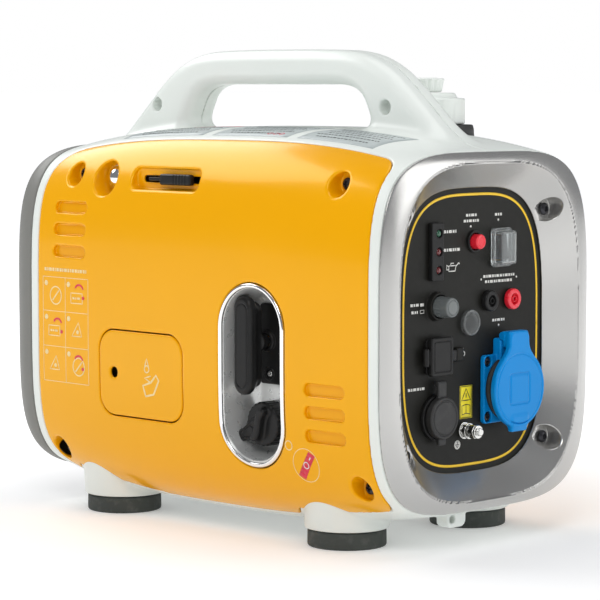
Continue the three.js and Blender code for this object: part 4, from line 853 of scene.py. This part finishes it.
def run_button(u, y, z):
    around = disc(y, z, *RUN, 0)
    cap = push(around - 7.7 + 0.03 * u, u, -12, 17, 1.4)
    cap = smax(cap, -push(np.abs(around - 5.4) - 0.25, u, 16.5, 20, 0.1), 0.4)
    ribs = 0.22 * np.cos(18 * np.arctan2(z - RUN[1], y - RUN[0])) * (u < 10) * (u > 5)
    return cap + ribs


panel_part("run_button_cap", run_button, (-12, -50, 169), (17.5, -31, 188), 0.5, SMOKE, "run_button",
           ["run_button"])


def banana(place):
    def shape(u, y, z):
        around = disc(y, z, *place, 0)
        body = push(around - 7.8, u, 0.4, 5.2, 1.3)
        body = smax(body, -push(np.abs(around - 3.3) - 0.9, u, 2.2, 9, 0.3), 0.7)
        return smax(body, -smax(around - 1.7, -6 - u, 0.3), 0.5)
    return shape


for colour, place in BANANAS.items():
    panel_part(f"banana_{colour}_ring", banana(place), (0, place[0] - 8, place[1] - 8),
               (6, place[0] + 8, place[1] + 8), 0.4, RED if colour == "red" else BLACK,
               stands_for=["banana_socket_" + colour])


def parallel(u, y, z):
    around = disc(y, z, *PARALLEL, 0)
    body = smax(push(around - 9.6, u, 0.4, 4.2, 0.9), -push(around - 7.6, u, 3, 9, 0.5), 0.6)
    for k in range(6):
        turn = math.pi * k / 3 + 0.4
        pin = disc(y, z, PARALLEL[0] + 4.9 * math.cos(turn), PARALLEL[1] + 4.9 * math.sin(turn), 1.7)
        body = smin(body, push(np.abs(pin) - 0.45, u, 0.5, 4, 0.3), 0.5)
    core = push(np.abs(around - 1.8) - 0.45, u, 0.5, 4, 0.3)
    return smin(body, core, 0.5)


panel_part("parallel_connector_core", lambda u, y,
           z: push(disc(y, z, *PARALLEL, 7.2), u, 0.45, 1.9, 0.4),
           (0, -12, 156), (3, 4, 173), 0.5, BLACK)
panel_part("parallel_connector_clear", parallel, (0, -14, 154), (5, 6, 175), 0.35, CLEAR,
           stands_for=["parallel_connector"])


def usb_base(u, y, z):
    v, w = y - USB[0], z - USB[1]
    base = push(rrect(v, w, 11.5, 12.5, 1.5), u, 0.4, 2.8, 0.6)
    base = smin(base, push(rrect(v, w, 9.5, 10.5, 1), u, -16, 1, 0.5), 0.3)
    for dv in (-4.5, 4.5):
        port = smax(rrect(v - dv, w, 2.8, 7, 0.5), -10 - u, 0.5)
        base = smax(base, -port, 0.5)
        base = np.minimum(base, push(rrect(v - dv - 0.9, w, 0.7, 5.6, 0.2), u, -10.4, 1.2, 0.2))
    return base


def usb_cover(u, y, z):
    v, w = y - USB[0], z - USB[1]
    lid = push(rrect(v - 0.5, w, 12, 14, 2), u, 3.3, 7.8, 1.2)
    lid = smax(lid, -push(np.abs(rrect(v - 0.5, w, 9, 11, 1.2)) - 0.3, u, 7.3, 12, 0.2), 0.5)
    lid = smax(lid, -push(rrect(v, w, 9, 10, 1), u, 0, 4.6, 0.4), 0.6)
    arm = block(u, y, z, (3.4, USB[0] - 14.5, USB[1] - 5), (6, USB[0] - 9, USB[1] + 5), 0.6)
    pin = push(disc(u, y, 4.6, USB[0] - 14.5, 2.3), z, USB[1] - 6.5, USB[1] + 6.5, 0.6)
    catch = block(u, y, z, (5, USB[0] + 11, USB[1] - 4), (7.4, USB[0] + 16.5, USB[1] + 4), 0.7)
    return smin(smin(smin(lid, arm, 0.8), pin, 0.8), catch, 0.8)


panel_part("usb_socket_base", usb_base, (-16, -54, 129), (3, -29, 156), 0.5, BLACK,
           stands_for=["usb_socket"])
panel_part("usb_flip_cover", usb_cover, (2, -59, 127), (8.5, -24, 158), 0.5, BLACK, "usb_cover",
           ["usb_cover"])


def dc_base(u, y, z):
    around = disc(y, z, *DC, 0)
    base = smin(push(around - 16.8, u, 0.4, 3.4, 0.8), push(around - 12.4, u, -28, 1, 0.5), 0.4)
    return smax(base, -smax(around - 10.5, -18.6 - u, 0.6), 0.8)


def dc_cap(u, y, z):
    around = disc(y, z, *DC, 0)
    cap = push(around - 15.4, u, 3.8, 10, 1.5)
    cap = smax(cap, -push(np.abs(around - 12.6) - 0.5, u, 9.3, 13, 0.3), 0.8)
    strap = block(u, y, z, (4.8, DC[0] - 4.5, DC[1]), (7.4, DC[0] + 4.5, DC[1] + 25), 0.8)
    pin = push(disc(u, z, 4.9, DC[1] + 25, 2.2), y, DC[0] - 4.5, DC[0] + 4.5, 0.5)
    tab = block(u, y, z, (4.4, DC[0] - 4, DC[1] - 20), (7.4, DC[0] + 4, DC[1]), 0.9)
    return smin(smin(cap, smin(strap, pin, 0.8), 1.5), tab, 1.5)


panel_part("dc_socket_base", dc_base, (-28, -58, 80), (4, -23, 115), 0.6, BLACK,
           stands_for=["dc_socket"])
panel_part("dc_cap_rubber", dc_cap, (2, -57, 77), (10.5, -24, 126), 0.55, SOFT, "dc_cap", ["dc_cap"])


def earth_stud(u, y, z):
    v, w = y - EARTH[0], z - EARTH[1]
    around = length(v, w)
    rod = around - 2.7 + 0.18 * np.sin(u * 2 * np.pi / 1.0)
    rod = smax(smax(rod, u - 17.6, 0.8), -8 - u, 0.5)
    for low, high, radius in ((0.4, 1.9, 6.4), (5.4, 6.6, 6), (13.8, 15, 5)):
        rod = smin(rod, push(around - radius, u, low, high, 0.4), 0.3)
    hexagon = np.maximum(np.abs(w), 0.5 * np.abs(w) + 0.866 * np.abs(v)) - 4.9
    return smin(rod, smax(push(hexagon, u, 2, 5.4, 0.5), around - 5.5, 0.5), 0.2)


def earth_nut(u, y, z):
    v, w = y - EARTH[0], z - EARTH[1]
    around = length(v, w)
    hexagon = np.maximum(np.abs(w), 0.5 * np.abs(w) + 0.866 * np.abs(v)) - 5
    nut = smax(push(hexagon, u, 8.4, 13.4, 0.5), around - 5.6, 0.6)
    return smax(nut, 3.2 - around, 0.3)


panel_part("earth_stud_thread", earth_stud, (-8, -16, 78), (18, -2, 92), 0.35, ZINC,
           stands_for=["earth_stud"])
panel_part("earth_nut_hex", earth_nut, (8, -15, 79), (14, -3, 91), 0.35, ZINC, "earth_nut",
           ["earth_nut"])

# ---- Starter recess, grip and knobs ---------------------------------------------------------
def recess_plan(x, z):
    return rrect(x - RECESS[0], z - RECESS[1], RECESS[2], RECESS[3], RECESS[2])


def recess_lip(x, y, z):
    body, plan = hull(x, y, z), recess_plan(x, z)
    band = smax(smax(plan + 0.1, -(plan + 3.6), 1.5), smax(body - 0.9, -(body + 4), 1.5), 1.8)
    return np.maximum(band, y)


def recess_tub(x, y, z):
    body, plan = hull(x, y, z), recess_plan(x, z)
    draft = 0.22 * np.clip(y + 121, 0, 40)
    cavity = smax((plan + 3.5 + draft) / 1.02, y - RECESS_FLOOR, 9)
    tub = smax(smax(cavity - 2.3, -cavity, 0.3), body + 1.2, 0.5)
    tub = smax(tub, -disc(x, z, STARTER_X, ROPE_Z, 7), 0.5)
    return np.maximum(smax(tub, -disc(x, z, *KNOB, 5), 0.5), y)


KNOB = (62.5, 88.5)
carve("recoil_recess_lip", recess_lip, (29, -125, 55), (100, -112, 196), 0.7, CHROME)
carve("recoil_recess_tub", recess_tub, (31, -123, 57), (98, -87, 194), 0.85, SATIN,
      stands_for=["recoil_recess"])
plate_low, plate_high = box_mm("guide_plate")


def guide_plate(x, y, z):
    middle = (plate_low + plate_high) / 2
    outline = rrect(x - middle[0], z - middle[2], (plate_high[0] - plate_low[0]) / 2,
                    (plate_high[2] - plate_low[2]) / 2, 3)
    plate = push(outline, y, RECESS_FLOOR - 2.6, RECESS_FLOOR - 0.4, 0.6)
    ring = disc(x, z, STARTER_X, ROPE_Z, 0)
    plate = smin(plate, push(np.abs(ring - 6.3) - 1.7, y, RECESS_FLOOR - 5, RECESS_FLOOR - 1, 1.2), 0.8)
    plate = smax(plate, -(ring - 4.4), 0.8)
    boss = disc(x, z, STARTER_X + 2, 124.6, 0)
    plate = smin(plate, push(np.abs(boss - 4.1) - 0.9, y, RECESS_FLOOR - 3.6, RECESS_FLOOR - 1, 0.5),
                 0.5)
    return smax(plate, -smax(boss - 3, y - RECESS_FLOOR + 0.9, 0.4), 0.5)


carve("rope_guide_plate", guide_plate, plate_low - (0, 2, 0), plate_high, 0.5, BLACK,
      stands_for=["guide_plate"])
screw("rope_guide_screw", (STARTER_X + 2, RECESS_FLOOR - 0.9, 124.6), "-y", 2.6, 2.2, STEEL)
grip_low, grip_high = box_mm("starter_grip")


def grip(x, y, z):
    mx, mz = (grip_low[0] + grip_high[0]) / 2 - 1, (grip_low[2] + grip_high[2]) / 2
    half_u, half_w = (grip_high[0] - grip_low[0]) / 2 - 1, (grip_high[2] - grip_low[2]) / 2
    bar = push(rrect(x - mx, z - mz, half_u, half_w, half_u), y, -117, -109, 3.4)
    core = push(rrect(x - mx - 1, z - mz, half_u - 1.6, half_w - 5, half_u - 1.6), y, -112, -103, 1.8)
    neck = smax(disc(x, z, STARTER_X, ROPE_Z, 0) - 5.4 - 0.14 * (-y - 96), np.abs(y + 100) - 3.6, 1.2)
    shape = smin(smin(bar, core, 2.5), neck, 2.5)
    groove = np.abs(rrect(x - mx, z - mz, half_u - 3.6, half_w - 6, half_u - 3.6)) - 0.35
    shape = smax(shape, -smax(groove, y + 116.5, 0.3), 0.7)
    return smax(shape, -smax(disc(x, z, STARTER_X, ROPE_Z, 2.4), -107 - y, 0.3), 0.3)


carve("starter_grip_handle", grip, grip_low - (1, 1, 1), grip_high + (1, 0, 1), 0.6, BLACK,
      "starter_grip",
      ["starter_grip"])
rope_low, rope_high = box_mm("starter_rope")


def rope(x, y, z):
    v, w = x - STARTER_X, z - ROPE_Z
    twist = np.arctan2(w, v) * 3 + y * 1.4
    return smax(length(v, w) - 1.85 - 0.12 * np.cos(twist), np.abs(y - (rope_low[1] + rope_high[1]) / 2)
                - (rope_high[1] - rope_low[1]) / 2, 0.4) * 0.8


carve("starter_rope_braid", rope, rope_low, rope_high, 0.4, CORD, "starter_grip", ["starter_rope"])
def knob(x, y, z):
    v, w = x - KNOB[0], z - KNOB[1]
    around = length(v, w)
    skirt = push(around - 16.4 - 0.25 * np.cos(24 * np.arctan2(w, v)), y, -106, RECESS_FLOOR - 1.4, 1.6)
    lug = spike(v, w, (-8, -5), (-19.5, -9.5), 8.5, 4.8)
    skirt = smin(skirt, push(lug, y, -107.5, RECESS_FLOOR - 1.8, 1.4), 2)
    skirt = smax(skirt,
                 -smax(np.abs(spike(v, w, (-12, -6.5), (-18, -9), 4.6, 2.6)) - 0.35, y + 107, 0.2), 0.6)
    across, along = 0.84 * v - 0.54 * w, 0.54 * v + 0.84 * w
    ridge = rrect(across + 2.4 * np.sin(along / 5.2), along, 3.2, 13.2, 3.2)
    ridge = push(ridge, y, -112.5, -103, 1.8)
    shaft = push(around - 4, y, -94, -72, 0.6)
    return smin(smin(skirt, ridge, 2.4), shaft, 0.6)


knob_low, knob_high = box_mm("engine_knob")
carve("engine_knob_dial", knob, knob_low - (2, 3, 2), knob_high + 1, 0.6, BLACK, "engine_knob",
      ["engine_knob"])
lever_low, lever_high = box_mm("choke_lever")


def choke_lever(x, y, z):
    face = -float(side_y(CHOKE[0], CHOKE[1]))
    w = z - CHOKE[1]
    tip = block(x, y, z, (-43, face + 0.4, CHOKE[1] - 4.2), (-9, face + 6, CHOKE[1] + 4.2), 1.8)
    for k in range(5):
        tip = smax(tip, -smax(np.abs(x + 14 + 3.2 * k) - 0.5, y - face - 1, 0.3), 0.6)
    wire = block(x, y, z, (-58, face + 3.6, CHOKE[1] - 1.4), (-41, face + 6, CHOKE[1] + 1.4), 0.8)
    stem = block(x, y, z, (-32, face + 5, CHOKE[1] - 1.8), (-20, face + 21, CHOKE[1] + 1.8), 0.6)
    return smin(smin(tip, wire, 0.8), stem, 0.6) + 0 * w


carve("choke_lever_slide", choke_lever, lever_low - 1, lever_high + 1, 0.5, BLACK, "choke_lever",
      ["choke_lever"])


# ---- Feet, filler cap and small parts -------------------------------------------------------
def foot(center):
    def shape(x, y, z):
        around = length(x - center[0], y - center[1])
        pad = push(around - 29.4 + 0.012 * z, z, 0, FOOT_TOP, 1.8)
        pad = smax(pad, -smax(np.abs(around - 20) - 2, z - 2, 0.5), 0.8)
        return smax(pad, -smax(around - 5, z - 8, 0.5), 0.8)
    return shape


for place, center in FEET.items():
    low, high = box_mm("foot_" + place)
    carve(f"foot_{place}_pad", foot(center), low, high, 0.9, RUBBER, stands_for=["foot_" + place])

cap_low, cap_high = box_mm("fuel_cap")
CAP = (cap_low + cap_high)[:2] / 2


def fuel_cap(x, y, z):
    v, w = x - CAP[0], y - CAP[1]
    around, turn = length(v, w), np.arctan2(w, v)
    flute = 0.7 * np.maximum(0, np.cos(12 * turn)) ** 2 * np.clip((cap_high[2] - 3 - z) / 6, 0, 1)
    wall = push(around - 29.4 + flute, z, cap_low[2], cap_high[2] - 4, 1.6)
    crown = push(around - 22.5, z, cap_low[2], cap_high[2], 2.4)
    shape = smin(wall, crown, 3)
    return smax(shape, -smax(around - 25, z - cap_low[2] - 4.6, 0.6), 0.6)


def cap_vent(x, y, z):
    v, w = x - CAP[0], y - CAP[1]
    around, turn = length(v, w), np.arctan2(w, v)
    height = z - cap_high[2]
    flute = 0.45 * np.cos(16 * turn) * np.clip(height / 2, 0, 1)
    shape = push(around - 10.8 - 0.22 * height + flute, z, cap_high[2] + 0.4, cap_high[2] + 11.1, 1.2)
    bar = push(rrect(v, w, 9, 2, 1.5), z, cap_high[2] + 10, cap_high[2] + 11.6, 0.5)
    return smin(shape, bar, 1)


carve("fuel_cap_shell", fuel_cap, cap_low, cap_high, 0.8, WHITE, "fuel_cap", ["fuel_cap"])
vent_low, vent_high = box_mm("fuel_cap_vent")
carve("fuel_cap_vent_knob", cap_vent, vent_low, vent_high + (0, 0, 0.5), 0.6, WHITE, "fuel_cap_vent",
      ["fuel_cap_vent"])
seal_low, seal_high = box_mm("filler_seal")


def filler_seal(x, y, z):
    around = length(x - CAP[0], y - CAP[1])
    ring = push(around - 35.6 - 0.12 * (seal_high[2] - z), z, seal_low[2], seal_high[2], 1.2)
    ring = smin(ring, push(np.abs(around - 34.5) - 1.6, z, seal_high[2] - 6, seal_high[2] - 2.5, 1), 1)
    return smax(smax(ring, 25.8 - around, 0.8), -hull(x, y, z) + 0.2, 0.3)


carve("filler_seal_ring", filler_seal, seal_low - 1, seal_high + 1, 0.8, SOFT,
      stands_for=["filler_seal"])


# ---- Printed marks --------------------------------------------------------------------------
def on_panel(u, v, rise):
    return np.stack([np.full_like(u, PANEL_X + rise), u, v], axis=-1)


def on_side(u, v, rise):
    return np.stack([u, -side_y(u, v) - rise, v], axis=-1)


def on_top(u, v, rise):
    return np.stack([u, v, top_z(u, v) + rise], axis=-1)


class Print:
    """Thin marks in one ink, laid on a surface; outlines are plane points that place maps onto it."""

    def __init__(self, place, rise=0.12):
        self.place, self.rise = place, rise
        self.points, self.faces = [], []

    def add(self, plane, faces):
        start = sum(len(p) for p in self.points)
        plane = np.array(plane, float)
        self.points.append(self.place(plane[:, 0], plane[:, 1], self.rise))
        self.faces += [tuple(start + i for i in face) for face in faces]

    def sheet(self, u0, v0, u1, v1, pitch=4.0):
        nu, nv = max(1, round(abs(u1 - u0) / pitch)), max(1, round(abs(v1 - v0) / pitch))
        us, vs = np.linspace(u0, u1, nu + 1), np.linspace(v0, v1, nv + 1)
        plane = [(u, v) for v in vs for u in us]
        row = nu + 1
        self.add(plane, [(j * row + i, j * row + i + 1, (j + 1) * row + i + 1, (j + 1) * row + i)
                         for j in range(nv) for i in range(nu)])

    def spot(self, u, v, radius, sides=20):
        turns = np.linspace(0, 2 * math.pi, sides, endpoint=False)
        self.add([(u + radius * math.cos(t), v + radius * math.sin(t)) for t in turns],
                 [tuple(range(sides))])

    def line(self, path, width, closed=False):
        path = np.array(path, float)
        if closed:
            path = np.vstack([path, path[:1]])
        fine = [path[0]]
        for a, b in zip(path[:-1], path[1:]):
            steps = max(1, round(np.linalg.norm(b - a) / 4))
            fine += [a + (b - a) * (k + 1) / steps for k in range(steps)]
        fine = np.array(fine)
        ahead = np.diff(fine, axis=0)
        ahead /= np.maximum(np.linalg.norm(ahead, axis=1), 1e-9)[:, None]
        first, last = (ahead[-1], ahead[0]) if closed else (ahead[0], ahead[-1])
        along = np.vstack([first + ahead[0], ahead[:-1] + ahead[1:], ahead[-1] + last])
        along /= np.maximum(np.linalg.norm(along, axis=1), 1e-9)[:, None]
        across = np.stack([-along[:, 1], along[:, 0]], axis=1) * width / 2
        n = len(fine)
        self.add(np.vstack([fine - across, fine + across]),
                 [(i, i + 1, n + i + 1, n + i) for i in range(n - 1)])

    def ring(self, u, v, radius, width, start=0.0, end=360.0):
        turns = np.radians(np.linspace(start, end, max(6, round((end - start) / 12)) + 1))
        self.line([(u + radius * math.cos(t), v + radius * math.sin(t)) for t in turns], width)

    def words(self, u, v, span, height, gap=0.9):
        """A row of plain dashes where a caption would stand."""
        u0 = u - span / 2
        lengths = [2.6, 1.4, 3.4, 2.0, 1.2, 3.0]
        i = 0
        while u0 < u + span / 2 - 0.8:
            u1 = min(u0 + lengths[i % 6], u + span / 2)
            self.sheet(u0, v - height / 2, u1, v + height / 2)
            u0 = u1 + gap
            i += 1

    def finish(self, name, ink, body="chassis"):
        points = np.vstack(self.points)
        corner = points[[face[:3] for face in self.faces]]
        facing = np.cross(corner[:, 1] - corner[:, 0], corner[:, 2] - corner[:, 0])
        away = corner.mean(axis=1) - (0, 0, AXIS_Z)
        faces = [f if good else f[::-1] for f, good in zip(self.faces, (facing * away).sum(axis=1) > 0)]
        mesh = bpy.data.meshes.new(name)
        mesh.from_pydata(((points + (MID, 0, 0)) * MM).tolist(), [], faces)
        mesh.polygons.foreach_set("use_smooth", [True] * len(mesh.polygons))
        obj = bpy.data.objects.new(name, mesh)
        bpy.context.scene.collection.objects.link(obj)
        mesh.materials.append(ink)
        thick = obj.modifiers.new("thickness", "SOLIDIFY")
        thick.thickness = 0.1 * MM
        thick.offset = -1
        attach(obj, body)
        return obj


def oval_path(a, b, n, count=160):
    turns = np.linspace(0, 2 * math.pi, count, endpoint=False)
    c, s = np.cos(turns), np.sin(turns)
    return np.stack([a * np.sign(c) * np.abs(c) ** (2 / n),
                     AXIS_Z + b * np.sign(s) * np.abs(s) ** (2 / n)], axis=1)


outline = Print(on_panel)
outline.line(oval_path(PANEL_A - 4.2, PANEL_B - 4.2, PANEL_POWER), 1.9, closed=True)
outline.finish("panel_outline", LINE)

marks = Print(on_panel)
for lz, span in ((231.7, 15), (218.3, 19)):
    marks.words(-24.5 + (span - 15) / 2, lz + 0.6, span, 2.2)
can = [(-26, 203.2), (-19, 203.2), (-18, 207.2), (-26, 207.2)]
marks.line(can, 0.8, closed=True)
marks.line([(-18, 206.8), (-15, 209), (-14, 208.2)], 0.8)
marks.line([(-26, 206.5), (-28.4, 207.8), (-28.4, 204.4), (-26, 204.4)], 0.7)
marks.line([(-23.8, 207.2), (-23.8, 209), (-20.4, 209)], 0.7)
marks.words(-1, 243.5, 12, 2.0)
marks.words(-1, 239.3, 17, 2.0)
marks.spot(-1.6, 235.2, 0.9)
marks.words(30, 243, 8, 2.0)
marks.spot(30, 239, 0.9)
marks.words(31, 197.4, 36, 2.0)
marks.words(31, 193.4, 32, 2.0)
for dot in (10.6, 51.5):
    marks.spot(dot, 195.4, 0.8)
marks.words(31, 164.3, 15, 2.0)
marks.spot(31, 160.4, 0.9)
marks.words(-63.5, 180.6, 9, 2.0)
marks.sheet(-57.4, 179.4, -53.4, 181.6)
marks.words(-63.5, 175.4, 7, 2.0)
marks.line([(-57.4, 174.4), (-53.4, 174.4), (-53.4, 176.6), (-57.4, 176.6)], 0.5, closed=True)
marks.words(-61, 119.5, 19, 2.0)
marks.ring(-9.3, 141.8, 1.6, 0.7)
marks.line([(-9.3, 141.8), (-9.3, 146)], 0.6)
marks.spot(-15.6, 74.8, 3.4)
marks.finish("panel_print", PRINT)
earth = Print(on_panel, 0.2)
earth.line([(-15.6, 77.2), (-15.6, 74.8)], 0.6)
for w, h in ((2.2, 74.8), (1.5, 73.8), (0.8, 72.8)):
    earth.line([(-15.6 - w, h), (-15.6 + w, h)], 0.55)
earth.finish("earth_mark", INK)

tag = Print(on_panel)
tag.sheet(-13, 93.6, 1, 118)
tag.finish("care_label", STICKER)
tag_ink = Print(on_panel, 0.2)
tag_ink.line([(-12.4, 94.2), (0.4, 94.2), (0.4, 117.4), (-12.4, 117.4)], 0.45, closed=True)
tag_ink.line([(-11, 107), (-1, 107), (-6, 115.6)], 0.8, closed=True)
tag_ink.line([(-6, 109), (-6, 112.2)], 0.8)
tag_ink.line([(-10.6, 96.4), (-6, 97.4), (-1.4, 96.4), (-1.4, 103), (-6, 104), (-10.6, 103)], 0.7,
             closed=True)
tag_ink.line([(-6, 97.4), (-6, 104)], 0.6)
tag_ink.finish("care_label_print", INK)

guide = Print(on_side)
guide.words(-145, 193, 52, 2.6)
columns, rows = (-173, -145, -117), (187, 160, 132, 104)
for u in columns:
    guide.line([(u, rows[0]), (u, rows[-1])], 0.5)
for v in rows:
    guide.line([(columns[0], v), (columns[-1], v)], 0.5)
for col in range(2):
    for row in range(3):
        cu, cv = columns[col] + 14, rows[row] - 13.5
        guide.spot(columns[col] + 4, rows[row] - 5, 2.1, 14)
        if (row + col) % 3 == 0:
            guide.ring(cu + 2, cv - 1, 7, 1.0)
            guide.line([(cu - 2, cv - 5), (cu + 6, cv + 3)], 1.2)
        elif (row + col) % 3 == 1:
            guide.line([(cu - 7, cv - 6), (cu + 7, cv - 6), (cu + 7, cv + 2), (cu - 7, cv + 2)], 0.8,
                       closed=True)
            guide.words(cu, cv - 2, 10, 1.6)
        else:
            guide.line([(cu - 6, cv - 5), (cu + 6, cv - 5), (cu + 2, cv + 6)], 0.8, closed=True)
            guide.spot(cu + 1, cv - 1.6, 1.6, 14)
guide.finish("start_guide_print", PALE)
guide_red = Print(on_side, 0.18)
for cu, cv in ((-128, 177), (-155, 149), (-129, 121)):
    guide_red.ring(cu, cv, 5.2, 1.6, 20, 150)
    guide_red.spot(cu + 5, cv - 5, 1.5, 14)
guide_red.finish("start_guide_red", LABEL_RED)

dial = Print(on_side)
dial.ring(116.5, 64, 12.5, 0.5)
dial.ring(101.5, 77.5, 3.4, 0.8)
dial.spot(96.5, 83.5, 1.5, 14)
dial.finish("knob_mark_print", PALE)
strip = Print(on_side, 0.14)
bar = [(120.5, 74.5), (126.5, 71.5), (113.5, 53), (107.5, 56)]
for k in range(6):
    a, b = k / 6, (k + 1) / 6
    left = [np.array(bar[0]) * (1 - t) + np.array(bar[3]) * t for t in (a, b)]
    right = [np.array(bar[1]) * (1 - t) + np.array(bar[2]) * t for t in (a, b)]
    strip.add([left[0], right[0], right[1], left[1]], [(0, 1, 2, 3)])
strip.finish("knob_mark_red", LABEL_RED)
symbols = Print(on_side, 0.2)
symbols.ring(116.8, 64, 2.4, 0.7)
symbols.line([(122, 70.4), (120.4, 68.2)], 1.0)
symbols.finish("knob_mark_symbols", PRINT)

oil = Print(on_side)
oil.line([(-50, 101), (-41, 103), (-35, 114), (-38, 118), (-44, 112), (-53, 109)], 1.6, closed=True)
oil.line([(-44, 112), (-51, 115), (-44, 117)], 1.0)
oil.ring(-48.5, 122, 2.6, 1.0)
oil.line([(-50.8, 123.5), (-48.5, 130), (-46.2, 123.5)], 1.0)
oil.finish("access_cover_print", PALE, "access_cover")

labels = Print(on_top, 0.15)
for u0, u1 in ((-118, -28), (-18, 62), (72, 148)):
    labels.sheet(u0, -79, u1, -27, 6)
labels.finish("top_labels", LABEL)
label_ink = Print(on_top, 0.24)
for u0, u1 in ((-112, -34), (-12, 56), (78, 142)):
    for row in range(6):
        label_ink.words((u0 + u1) / 2, -71 + 7 * row, (u1 - u0) * (0.96 if row % 2 else 0.8), 1.3, 1.3)
label_ink.finish("top_label_print", INK)
label_red = Print(on_top, 0.22)
label_red.sheet(-116, -37, -30, -31, 6)
for u in (38, 44, 50):
    label_red.ring(u, -72, 2, 0.7)
label_red.finish("top_label_red", LABEL_RED)
